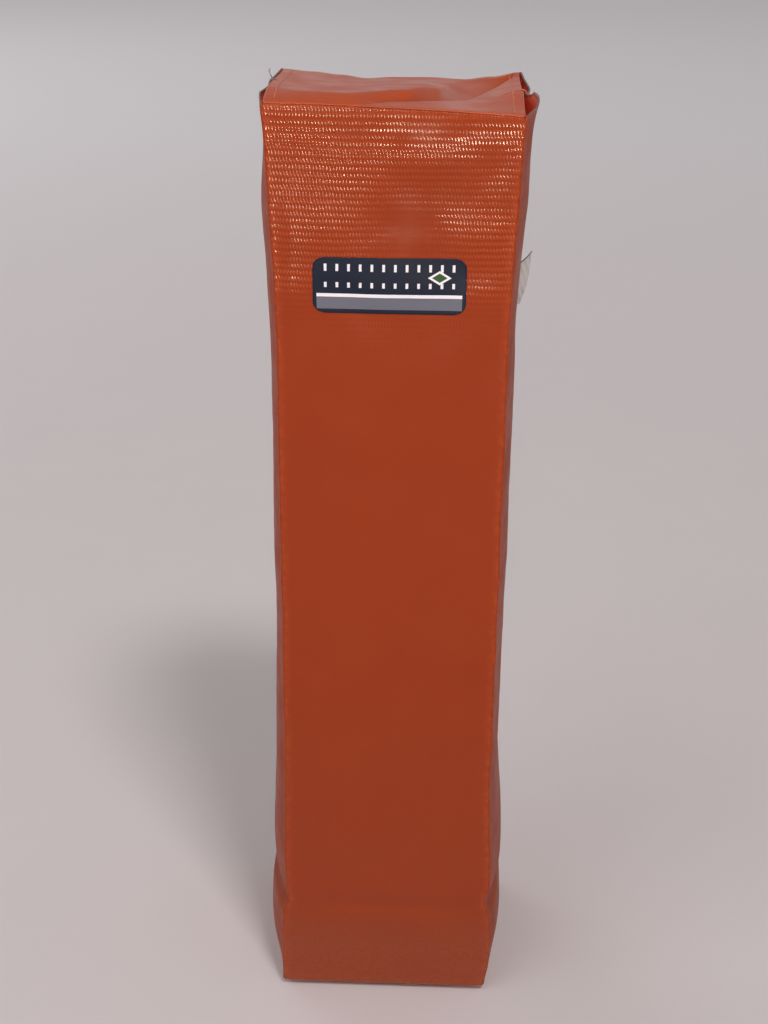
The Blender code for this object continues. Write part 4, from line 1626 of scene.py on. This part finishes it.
@dataclass
class TopPanel(Panel):
    """Top panel: sewn at front and back, with free hemmed edges at the sides."""

    columns: int = 128
    row_count: int = 104

    def size(self) -> Pair:
        """Give the width and length that its flaps share out."""
        return FORM.width, FORM.depth

    @staticmethod
    def edge(side: Side, along: float) -> float:
        """Give the fold's centre line at one side.

        Args:
            side: Left or right.
            along: Share of the way back.

        Returns:
            Place across, in metres.
        """
        front = FORM.corner_half_width(side, Face.FRONT, FORM.height)
        back = FORM.corner_half_width(side, Face.BACK, FORM.height)
        return side.value * (lerp(front, back, along) - CLOTH.top_edge_inset)

    def place(self, spot: Spot) -> Vector:
        """Find the cloth's middle at a place.

        Args:
            spot: Place on the grid.

        Returns:
            The point, in metres.
        """
        across = spot.share + spot.across_slide / (FORM.width - 2 * CLOTH.seam_inset)
        along = spot.row + spot.along_slide / (FORM.depth - 2 * CLOTH.seam_inset)
        reach = FORM.corner_half_depth(FORM.height) - CLOTH.seam_inset
        x = lerp(self.edge(Side.LEFT, along), self.edge(Side.RIGHT, along), across)
        z = FORM.height + FORM.top_lift(across, along) - spot.depth
        return Vector((x, lerp(-reach, reach, along), z))


@dataclass
class BasePanel(Panel):
    """Bottom panel, hemmed along all four edges."""

    columns: int = 48
    row_count: int = 48
    flipped: bool = True

    def __post_init__(self) -> None:
        """Set the grid and the places of its sides."""
        super().__post_init__()
        halves = (FORM.corner_half_width(side, Face.FRONT, FORM.base_rise) for side in Side)
        self.left, self.right = halves

    def size(self) -> Pair:
        """Give the width and length between its folds."""
        return (FORM.depth - 2 * CLOTH.seam_inset,) * 2

    def place(self, spot: Spot) -> Vector:
        """Find the cloth's middle at a place.

        Args:
            spot: Place on the grid.

        Returns:
            The point, in metres.
        """
        half = FORM.depth / 2 - CLOTH.seam_inset
        x = lerp(CLOTH.seam_inset - self.left, self.right - CLOTH.seam_inset, spot.share)
        x += spot.across_slide
        y = lerp(-half, half, spot.row) + spot.along_slide
        return Vector((x, y, FORM.base_lift(x, y) + spot.depth))


def ring_faces(base: int, rings: int, around: int) -> list[list[int]]:
    """Join rings of points into a closed tube.

    Args:
        base: Number of the first ring's first point.
        rings: Number of rings.
        around: Points in each ring.

    Returns:
        Faces of the wall, and then those of the two ends.
    """
    faces = []
    last = base + (rings - 1) * around
    for low in range(base, last, around):
        high = low + around
        for k in range(around):
            after = (k + 1) % around
            faces.append([low + k, low + after, high + after, high + k])
    ends = [list(range(first, first + around)) for first in (base, last)]
    return faces + [ends[0][::-1], ends[1]]


class Tubes:
    """Short lengths of thread, gathered into one mesh."""

    SIDES = 8
    FIRST_NORMAL = (0.3, 0.2, 1.0)

    def __init__(self, name: str) -> None:
        """Start an empty piece.

        Args:
            name: Name of the piece.
        """
        self.name = name
        self.points: list[Vector] = []
        self.faces: list[list[int]] = []

    def add(self, line: Sequence[Vector], radius: float, taper: float = 1.0) -> None:
        """Add one length of thread.

        Args:
            line: Points that its middle follows.
            radius: Radius of the thread.
            taper: Radius at its far end, as a share of the radius.
        """
        base = len(self.points)
        normal = Vector(self.FIRST_NORMAL)
        last = len(line) - 1
        for k, point in enumerate(line):
            run = (line[min(k + 1, last)] - line[max(k - 1, 0)]).normalized()
            normal = (normal - run * normal.dot(run)).normalized()
            other = run.cross(normal)
            size = radius * lerp(1.0, taper, k / last)
            for m in range(self.SIDES):
                angle = math.tau * m / self.SIDES
                self.points.append(point + (normal * math.cos(angle) + other * math.sin(angle)) * size)
        self.faces += ring_faces(base, len(line), self.SIDES)

    def build(self) -> bpy.types.Object:
        """Make the mesh.

        Returns:
            The piece.
        """
        data = bpy.data.meshes.new(self.name)
        data.from_pydata(self.points, [], self.faces)
        return link(self.name, data)


def eased_line(points: Sequence[Vector], steps: int) -> list[Vector]:
    """Round a line through its points.

    Args:
        points: Points to pass through.
        steps: Steps from each to the next.

    Returns:
        A finer, smooth line.
    """
    line = []
    padded = [points[0], *points, points[-1]]
    for k in range(len(points) - 1):
        a, b, c, d = padded[k : k + 4]
        bend, twist = 2 * a - 5 * b + 4 * c - d, 3 * b - a - 3 * c + d
        for m in range(steps):
            t = m / steps
            line.append((2 * b + (c - a) * t + bend * t**2 + twist * t**3) / 2)
    return line + [points[-1]]


@dataclass(frozen=True)
class Swing:
    """A regular unevenness that tells one stitch or fibre from the next.

    Attributes:
        size: Largest value.
        rate: Turn from one to the next, in radians.
        phase: Turn of the first, in radians.
    """

    size: float
    rate: float
    phase: float = 0.0

    def at(self, k: float, shift: float = 0.0) -> float:
        """Give its value at a number in the row."""
        return self.size * math.sin(self.rate * k + self.phase + shift)


@dataclass
class Sewing:
    """The threads that show: hem stitches, tacks, a loose tail and frayed fibres."""

    top: bpy.types.Object
    radius: float = 0.00028
    pitch: float = 0.0035
    hem_inset: float = 0.004
    stitch_shares: Pair = (0.12, 0.88)
    stitch_steps: int = 6
    stitch_heights: Pair = (-1.1, 0.62)
    stitch_roundness: float = 0.6
    stitch_swing: Swing = Swing(0.00012, 9.7)
    tack_bars: dict[Side, float] = per({Side.LEFT: 0.0012, Side.RIGHT: 0.0095})
    tack_slants: dict[Side, float] = per({Side.LEFT: 0.0004, Side.RIGHT: 0.006})
    strands: int = 3
    strand_gap: float = 0.0009
    strand_swing: Swing = Swing(0.0003, 7)
    strand_turn: int = 2
    strand_step: float = 0.5 * MM
    tack_fineness: int = 4
    tail_fineness: int = 5
    bar_steps: int = 8
    start_depth: float = -1.5
    bar_height: float = 0.5
    crest: Pair = (-0.3 * MM, 0.5 * MM)
    crest_sag: float = 0.6 * MM
    over_edge: tuple[Point, ...] = (
        (0.5 * MM, 1.0, 0.1 * MM),
        (0.6 * MM, 1.4, -1.6 * MM),
        (-0.2 * MM, 1.6, -2.6 * MM),
    )
    tail_root: Pair = (0.4 * MM, 0.1 * MM)
    tail_bend: tuple[Point, ...] = ((-1.2, 0.4, 0.8), (-2.2, 0.8, 2.4))
    tail_tips: tuple[Point, ...] = ((-2.7, 0.3, 4.6), (-2.1, -0.5, 4.9))
    tail_share: float = 0.82
    tail_hook: Pair = (0.3, 1.4)
    tail_radius_share: float = 0.8
    fibre_count: int = 30
    fibre_radius: float = 0.05 * MM
    fibre_depth: float = 0.25 * MM
    fibre_places: Swing = Swing(0.35, 5.1)
    fibre_lengths: Pair = (0.7 * MM, 0.9 * MM)
    fibre_length_rate: float = 3.3
    fibre_outward: float = 0.2
    fibre_upward: float = 0.9
    fibre_leans: tuple[Swing, ...] = (Swing(0.5, 1.7), Swing(0.8, 2.9))
    fibre_bends: tuple[Swing, ...] = (Swing(0.35, 4.1, math.pi / 2), Swing(0.5, 6.3))
    tip_share: float = 0.5

    def __post_init__(self) -> None:
        """Keep the top panel's surface and the reach of its sides."""
        self.tree = finder(self.top)
        self.reach = FORM.corner_half_depth(FORM.height) - CLOTH.seam_inset

    def on_top(self, x: float, y: float, above: float) -> Vector:
        """Find a point over the top panel."""
        hit = self.tree.ray_cast(Vector((x, y, 2 * FORM.height)), Vector((0, 0, -1)))[0]
        return Vector((x, y, (hit.z if hit else FORM.height) + above))

    def hem(self, side: Side) -> bpy.types.Object:
        """Make the row of stitches along one hem.

        Args:
            side: Left or right.

        Returns:
            The stitches.
        """
        tubes = Tubes(f"hem_stitches_{side.name.lower()}")
        reach = self.reach - self.hem_inset
        count = round(2 * reach / self.pitch)
        for k in range(count):
            line = []
            for m in range(self.stitch_steps + 1):
                share = (k + lerp(*self.stitch_shares, m / self.stitch_steps)) / count
                y = lerp(-reach, reach, share)
                x = TopPanel.edge(side, (y / self.reach + 1) / 2) - side.value * self.hem_inset
                arch = math.sin(math.pi * m / self.stitch_steps)
                height = lerp(*self.stitch_heights, max(arch, 0.0) ** self.stitch_roundness)
                line.append(self.on_top(x + self.stitch_swing.at(k), y, height * self.radius))
            tubes.add(line, self.radius)
        return tubes.build()

    def tack(self, side: Side) -> bpy.types.Object:
        """Make the hand tack that closes one side of the top.

        Args:
            side: Left or right.

        Returns:
            The tack; the left one has a loose tail of two strands.
        """
        tubes = Tubes(f"tack_{side.name.lower()}")
        out = side.value
        edge = TopPanel.edge(side, FORM.tack_share)
        y = lerp(-self.reach, self.reach, FORM.tack_share)
        outer = FORM.side_reach(side, FORM.tack_share, FORM.height)
        raw = FORM.height + FORM.raw_edge_lift(side, FORM.tack_share)
        for strand in range(self.strands):
            spread = (strand - 1) * self.strand_gap
            line = []
            for m in range(self.bar_steps + 1):
                share = m / self.bar_steps
                x = lerp(edge - out * self.tack_bars[side], edge, share)
                back = y + spread - self.tack_slants[side] * (1 - share)
                back += self.strand_swing.at(share, self.strand_turn * strand)
                height = self.bar_height if m else self.start_depth
                line.append(self.on_top(x, back, height * self.radius))
            past, rise = self.crest
            crest = max(raw, line[-1].z - self.crest_sag) + rise
            line.append(Vector((out * (outer + past), y + spread, crest)))
            for past, fan, lift in self.over_edge:
                line.append(Vector((out * (outer + past), y + spread * fan, raw + lift)))
            line[-1].z -= self.strand_step * strand
            tubes.add(eased_line(line, self.tack_fineness), self.radius)
        if side is Side.LEFT:
            inward, above = self.tail_root
            self.tail(tubes, self.on_top(edge + inward, y, above))
        return tubes.build()

    def tail(self, tubes: Tubes, start: Vector) -> None:
        """Add the loose tail of the left tack.

        Args:
            tubes: The tack's threads.
            start: Where the tail leaves the cloth.
        """
        hook, sweep = self.tail_hook
        for lean, depth, height in self.tail_tips:
            route = [(x, depth * share, z) for x, share, z in self.tail_bend]
            route += [(lean, depth, height * self.tail_share), (lean + hook, depth * sweep, height)]
            tail = [start, *(start + Vector(step) * MM for step in route)]
            eased_tail = eased_line(tail, self.tail_fineness)
            tubes.add(eased_tail, self.radius * self.tail_radius_share, self.tip_share)

    def fibres(self) -> bpy.types.Object:
        """Make the few fibres that fray from the raw edges of the side panels.

        Returns:
            The fibres.
        """
        tubes = Tubes("frayed_fibres")
        shortest, longer = self.fibre_lengths
        lean_x, lean_y = self.fibre_leans
        for side in Side:
            out = side.value
            for k in range(self.fibre_count):
                share = (k + 0.5 + self.fibre_places.at(k)) / self.fibre_count
                z = FORM.height + FORM.raw_edge_lift(side, share) - self.fibre_depth
                reach = FORM.corner_half_depth(z) - CLOTH.seam_inset
                middle = FORM.side_reach(side, share, z) - CLOTH.thickness / 2
                root = Vector((out * middle, lerp(-reach, reach, share), z))
                length = shortest + longer * abs(math.sin(self.fibre_length_rate * k + out))
                outward = out * (self.fibre_outward + lean_x.at(k))
                lean = Vector((outward, lean_y.at(k), self.fibre_upward)).normalized()
                bend = Vector((*(swing.at(k) for swing in self.fibre_bends), 0.0))
                line = [root, root + lean * length / 2, root + (lean + bend / 2) * length]
                tubes.add(line, self.fibre_radius, self.tip_share)
        return tubes.build()


@dataclass(frozen=True)
class Patch:
    """Printed film on the front panel."""

    width: float = 0.066
    height: float = 0.025
    film: float = 0.00015
    centre: float = 0.8403 * FORM.height
    offset: float = -0.0015
    corner: float = 0.005
    columns: int = 120
    rows: int = 40

    def build(self, front: bpy.types.Object) -> bpy.types.Object:
        """Lay the film on the cloth.

        Args:
            front: The front panel.

        Returns:
            The film, a rounded rectangle that follows the cloth.
        """
        tree = finder(front)
        points = {}
        for j in range(self.rows + 1):
            z = self.height * (j / self.rows - 0.5)
            rounded = max(abs(z) - self.height / 2 + self.corner, 0.0)
            reach = self.width / 2 - self.corner + math.sqrt(max(self.corner**2 - rounded**2, 0.0))
            for i in range(self.columns + 1):
                x = self.offset + reach * (2 * i / self.columns - 1)
                hit = tree.ray_cast(Vector((x, -FORM.depth, self.centre + z)), Vector((0, 1, 0)))[0]
                points[i, j] = (Vector((x, hit.y - self.film, self.centre + z)), 0.0)
        return make_sheet("printed_patch", points, self.film)


@dataclass(frozen=True)
class Label:
    """Satin label in the rear right seam."""

    thickness: float = 0.0004
    height: float = 0.021
    width: float = 0.015
    seam_inset: float = 0.00075
    centre: float = 0.77 * FORM.height
    top_angle: float = math.radians(10)
    twist: float = math.radians(35)
    twist_roundness: float = 0.55
    top_lift: float = 0.0085
    curl: float = 0.12
    curl_turns: Pair = (2.6, 4.0)
    scorch: float = 0.9
    scorch_span: Span = (0.955, 0.985)
    columns: int = 24
    rows: int = 44

    def build(self) -> bpy.types.Object:
        """Make the curled label.

        Returns:
            The label.
        """
        hinge = Vector((
            FORM.corner_half_width(Side.RIGHT, Face.BACK, self.centre) - self.seam_inset,
            FORM.corner_half_depth(self.centre) - self.seam_inset,
            self.centre,
        ))
        turn_across, turn_along = self.curl_turns
        points = {}
        for i in range(self.columns + 1):
            across = i / self.columns
            for j in range(self.rows + 1):
                along = j / self.rows
                curl = self.curl * math.sin(turn_across * across + turn_along * along) * across
                angle = self.top_angle + self.twist * (1 - along) ** self.twist_roundness + curl
                reach = self.width * across
                z = self.height * (along - 0.5) + self.top_lift * across**2 * along
                place = Vector((reach * math.cos(angle), reach * math.sin(angle), z))
                points[i, j] = (hinge + place, self.scorch * eased(along, self.scorch_span))
        return make_sheet("satin_label", points, self.thickness)


@dataclass(frozen=True)
class Filling:
    """The foam block and the sand pouch."""

    foam_gaps: Pair = (0.0012, 0.0086)
    foam_inset: float = 2.25 * MM
    foam_rows: int = 60
    foam_steps: int = 24
    low_rounding: Table = ((0.0, 0.004), (0.002, 0.001))
    high_rounding: Table = ((0.003, 0.001), (0.0008, 0.003), (0.0, 0.006))
    straight_gaps: Pair = (0.004, 0.006)
    pouch_cloth: float = 0.0005
    flange: float = 0.005
    side_gap: float = 0.0021
    seam_height: float = 0.022
    pouch_steps: int = 60
    pouch_flatness: int = 6

    def foam(self) -> bpy.types.Object:
        """Make the foam block inside the cover.

        Returns:
            The block, with rounded edges and swollen sides.
        """
        low, high = FORM.crease_height + self.foam_gaps[0], FORM.height - self.foam_gaps[1]
        start, end = low + self.straight_gaps[0], high - self.straight_gaps[1]
        levels = [(low + gap, tuck) for gap, tuck in self.low_rounding]
        levels += [(lerp(start, end, k / self.foam_rows), 0.0) for k in range(self.foam_rows + 1)]
        levels += [(high - gap, tuck) for gap, tuck in self.high_rounding]
        shares = [(step + 0.5) / self.foam_steps * 2 - 1 for step in range(self.foam_steps)]
        outline = [(share, -1) for share in shares] + [(1, share) for share in shares]
        outline += [(-share, 1) for share in shares] + [(-1, -share) for share in shares]
        points = []
        for z, tuck in levels:
            depth = FORM.corner_half_depth(z) - self.foam_inset - tuck
            for across, along in outline:
                side = Side.RIGHT if across >= 0 else Side.LEFT
                if abs(across) == 1:
                    wide = FORM.side_reach(side, (along + 1) / 2, z)
                else:
                    wide = FORM.corner_half_width(side, Face(along), z)
                points.append(Vector((across * (wide - self.foam_inset - tuck), along * depth, z)))
        data = bpy.data.meshes.new("foam_block")
        data.from_pydata(points, [], ring_faces(0, len(levels), len(outline)))
        return link("foam_block", data)

    def pouch(self, name: str, layer: Layer) -> bpy.types.Object:
        """Make one cloth of the sand pouch.

        Args:
            name: Name of the piece.
            layer: Upper or lower.

        Returns:
            The cloth, a shallow pillow half with a flat flange.
        """
        half = FORM.width / 2 - CLOTH.fold_thickness - self.side_gap - self.flange
        lift = (self.pouch_cloth + CLOTH.clearance) / 2
        if layer is Layer.UPPER:
            height = FORM.crease_height - self.seam_height
        else:
            base = CLOTH.thickness + CLOTH.clearance + self.pouch_cloth / 2
            height = self.seam_height - lift - base
        limit = 1 + self.flange / half
        shares = [lerp(-limit, limit, k / self.pouch_steps) for k in range(self.pouch_steps + 1)]
        swells = [max(1 - abs(share) ** self.pouch_flatness, 0.0) for share in shares]
        points = {}
        for i, across in enumerate(shares):
            for j, along in enumerate(shares):
                z = self.seam_height + layer.value * (lift + height * swells[i] * swells[j])
                points[i, j] = (Vector((across * half, along * half, z)), 0.0)
        return make_sheet(name, points, self.pouch_cloth)


@dataclass(frozen=True)
class Lamp:
    """An area lamp of the studio.

    Attributes:
        name: Name of the lamp.
        place: Where it hangs.
        aim: Point that it shines on.
        size: Width and height.
        power: Power, in watts.
        colour: Colour of its light.
        spread: Angle that its light fans out over, in degrees.
    """

    name: str
    place: Point
    aim: Point
    size: Pair
    power: float
    colour: Point = (1.0, 1.0, 1.0)
    spread: float = 180.0

    def build(self) -> None:
        """Hang the lamp."""
        data = bpy.data.lights.new(self.name, "AREA")
        data.shape = "RECTANGLE"
        data.size, data.size_y = self.size
        data.energy = self.power
        data.color = self.colour
        data.spread = math.radians(self.spread)
        obj = bpy.data.objects.new(self.name, data)
        bpy.context.scene.collection.objects.link(obj)
        obj.location = self.place
        obj.rotation_euler = (Vector(self.aim) - Vector(self.place)).to_track_quat("-Z", "Y").to_euler()


class Studio:
    """Floor, light and camera."""

    FOCAL_PIXELS = 1650
    CAMERA_PLACE = (0.0207647, -0.73355748, 0.59432585)
    CAMERA_TURN = (1.1357, -0.0086, 0.0387)
    LOW_SKY = (0.68, 0.65, 0.66)
    HORIZON = (0.38, 0.365, 0.37)
    HIGH_SKY = (0.29, 0.28, 0.285)
    SKY_BANDS = ((0.0, 0.1, HORIZON, LOW_SKY), (0.22, 0.4, LOW_SKY, HIGH_SKY))
    FLOOR = (0.65, 0.6, 0.61)
    FLOOR_SHADE = 0.97
    # Painted light: paler floor tones far off, where the lamps' light falls off.
    FLOOR_BANDS = (((400.0, 3200.0), (0.86, 0.845, 0.865)), ((3200.0, 7000.0), (0.97, 0.96, 0.97)))
    FLOOR_HALF = 20.0
    FLOOR_GRAIN = 12
    FLOOR_ROUGHNESS = 0.9
    SENSOR = 36.0
    LAMPS = (
        Lamp("key", (1.12, -2.5, 4.6), (0, 0, 0.2), (0.85, 0.85), 105, (1.0, 0.97, 0.94)),
        Lamp("fill", (-1.8, -1.6, 3.0), (0, 0, 0.3), (2.2, 2.2), 23),
        Lamp("rear", (-2.3, 2.3, 1.9), (0, 0, 0.25), (1.8, 1.8), 18),
        Lamp("glint", (0.02, -2.2, 0.44), (0, -0.05, 0.42), (0.36, 0.14), 1.3, (1.0, 0.76, 0.57), 45.0),
    )

    @classmethod
    def build(cls) -> None:
        """Set up the studio."""
        scene = bpy.context.scene
        scene.view_settings.view_transform = "Standard"
        world = bpy.data.worlds.new("studio")
        scene.world = world
        world.use_nodes = True
        cls.sky(world.node_tree)
        for lamp in cls.LAMPS:
            lamp.build()
        cls.floor()
        cls.camera()

    @classmethod
    def sky(cls, tree: bpy.types.NodeTree) -> None:
        """Light the room: grey at the floor, pale over it, and dimmer overhead.

        Args:
            tree: The world's node tree.
        """
        turn = tree.nodes.new("ShaderNodeTexCoord")
        split = tree.nodes.new("ShaderNodeSeparateXYZ")
        tree.links.new(turn.outputs["Generated"], split.inputs[0])
        below: bpy.types.NodeSocket | None = None
        for low, high, start, end in cls.SKY_BANDS:
            height = tree.nodes.new("ShaderNodeMapRange")
            height.interpolation_type = "SMOOTHSTEP"
            height.inputs["From Min"].default_value = low
            height.inputs["From Max"].default_value = high
            tone = tree.nodes.new("ShaderNodeMix")
            tone.data_type = "RGBA"
            tone.inputs[6].default_value = (*start, 1.0)
            tone.inputs[7].default_value = (*end, 1.0)
            tree.links.new(split.outputs["Z"], height.inputs["Value"])
            tree.links.new(height.outputs[0], tone.inputs["Factor"])
            if below is not None:
                tree.links.new(below, tone.inputs[6])
            below = tone.outputs[2]
        tree.links.new(below, tree.nodes["Background"].inputs["Color"])

    @classmethod
    def floor(cls) -> None:
        """Lay a plain floor that is painted paler with the distance, in millimetres, as painted light where
        the lamps fall off.
        """
        ways = ((-1, -1), (1, -1), (1, 1), (-1, 1))
        corners = [(x * cls.FLOOR_HALF, y * cls.FLOOR_HALF, 0) for x, y in ways]
        data = bpy.data.meshes.new("floor")
        data.from_pydata(corners, [], [range(len(corners))])
        obj = link("floor", data)
        nodes = Nodes("floor_paint")
        place = nodes.place()
        grain = nodes.noise(place, cls.FLOOR_GRAIN, 3.0)
        colour = nodes.mix(grain, cls.FLOOR, tuple(cls.FLOOR_SHADE * c for c in cls.FLOOR))
        x, y = nodes.axes(place, ("X", "Y"))
        reach = nodes.math("SQRT", nodes.math("MULTIPLY_ADD", x, x, nodes.product(y, y)))
        for span, tone in cls.FLOOR_BANDS:
            colour = nodes.mix(nodes.ramp(reach, *span), colour, tone)
        nodes.set(Base_Color=colour, Roughness=cls.FLOOR_ROUGHNESS)
        obj.data.materials.append(nodes.material)

    @classmethod
    def camera(cls) -> None:
        """Stand the camera where the photograph was taken from."""
        data = bpy.data.cameras.new("camera")
        data.sensor_fit = "VERTICAL"
        data.sensor_height = cls.SENSOR
        data.lens = cls.FOCAL_PIXELS * data.sensor_height / IMAGE_HEIGHT
        obj = bpy.data.objects.new("camera", data)
        bpy.context.scene.collection.objects.link(obj)
        obj.location = cls.CAMERA_PLACE
        obj.rotation_euler = cls.CAMERA_TURN
        bpy.context.scene.camera = obj


@dataclass(frozen=True)
class Role:
    """What a piece stands for.

    Attributes:
        slot: Name of a material slot; it is not used.
        nodes: CAD nodes that it stands for.
        body: CAD body that it moves with.
    """

    slot: str
    nodes: tuple[str, ...] = ()
    body: str = "pylon"


class Dressing:
    """Puts the pieces on the frame."""

    def __init__(self) -> None:
        """Make the materials."""
        self.finishes = Finishes()

    @staticmethod
    def fit(obj: bpy.types.Object, role: Role, *materials: bpy.types.Material) -> bpy.types.Object:
        """Give a piece its materials, its body and what it stands for.

        Args:
            obj: The piece.
            role: What it stands for.
            materials: Materials for its slots.

        Returns:
            The piece.
        """
        for slot, material in enumerate(materials):
            if slot < len(obj.data.materials):
                obj.data.materials[slot] = material
            else:
                obj.data.materials.append(material)
        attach(obj, role.body)
        if role.nodes:
            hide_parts(*role.nodes)
        LOG.info("%s has %d faces", obj.name, len(obj.data.polygons))
        return obj

    def cover(self) -> dict[str, bpy.types.Object]:
        """Make the six cover panels.

        Returns:
            The panels by name.
        """
        front, side, top = self.finishes.front, self.finishes.side, self.finishes.top
        plan: tuple[tuple[Panel, str, bpy.types.Material, Pair], ...] = (
            (FacePanel("front_cloth"), "front_panel", front, (0.124, 0.472)),
            (FacePanel("back_cloth", face=Face.BACK), "back_panel", front, (0.124, 0.472)),
            (SidePanel("left_side_cloth"), "left_side_panel", side, (0.118, 0.466)),
            (SidePanel("right_side_cloth", side=Side.RIGHT), "right_side_panel", side, (0.118, 0.466)),
            (TopPanel("top_cloth"), "top_panel", top, (0.125, 0.115)),
            (BasePanel("base_cloth"), "bottom_panel", top, (0.122, 0.117)),
        )
        made = {}
        inside = (self.finishes.cut, self.finishes.lining)
        for panel, node, material, flat in plan:
            obj = self.fit(panel.build(), Role("orange_vinyl", (node,)), material, *inside)
            made[obj.name] = obj
        return made

    def filling(self) -> None:
        """Make the foam block and the sand pouch."""
        filling = Filling()
        foam = self.fit(filling.foam(), Role("foam", ("foam_core",)), self.finishes.foam)
        for layer in Layer:
            word = layer.name.lower()
            role = Role("pouch_cloth", (f"sand_pouch_{word}",))
            cloth = self.fit(filling.pouch(f"pouch_cloth_{word}", layer), role, self.finishes.pouch)

    def sewing(self, top: bpy.types.Object) -> None:
        """Make the threads that show.

        Args:
            top: The top panel.
        """
        sewing = Sewing(top)
        orange, pale = self.finishes.thread, self.finishes.pale_thread
        for side in Side:
            node = f"hem_thread_{side.name.lower()}"
            self.fit(sewing.hem(side), Role("orange_thread", (node,)), orange)
        self.fit(sewing.tack(Side.RIGHT), Role("orange_thread", ("tack_thread_right",)), orange)
        self.fit(sewing.tack(Side.LEFT), Role("pale_thread", ("tack_thread_left",)), pale)
        self.fit(sewing.fibres(), Role("pale_thread"), pale)

    def carried_over(self) -> None:
        """Give the CAD nodes that stay their materials."""
        nodes = frame["nodes"]
        plan = {name: self.finishes.thread for name in nodes if name.startswith("seam_thread")}
        plan["sand_pouch_thread"] = self.finishes.pale_thread
        plan["sand_fill"] = self.finishes.sand
        for name, material in plan.items():
            nodes[name].data.materials.clear()
            nodes[name].data.materials.append(material)
            LOG.info("%s is carried over", name)

    def build(self) -> None:
        """Make every piece."""
        cover = self.cover()
        self.filling()
        self.sewing(cover["top_cloth"])
        patch = Patch().build(cover["front_cloth"])
        self.fit(patch, Role("decal_film", ("front_decal",)), self.finishes.patch)
        label = self.fit(Label().build(), Role("satin", ("care_label",), "label"), self.finishes.satin)
        self.carried_over()


def main() -> None:
    """Build the scene."""
    logging.basicConfig(level=logging.INFO)
    Studio.build()
    Dressing().build()


if __name__ == "__main__":
    main()
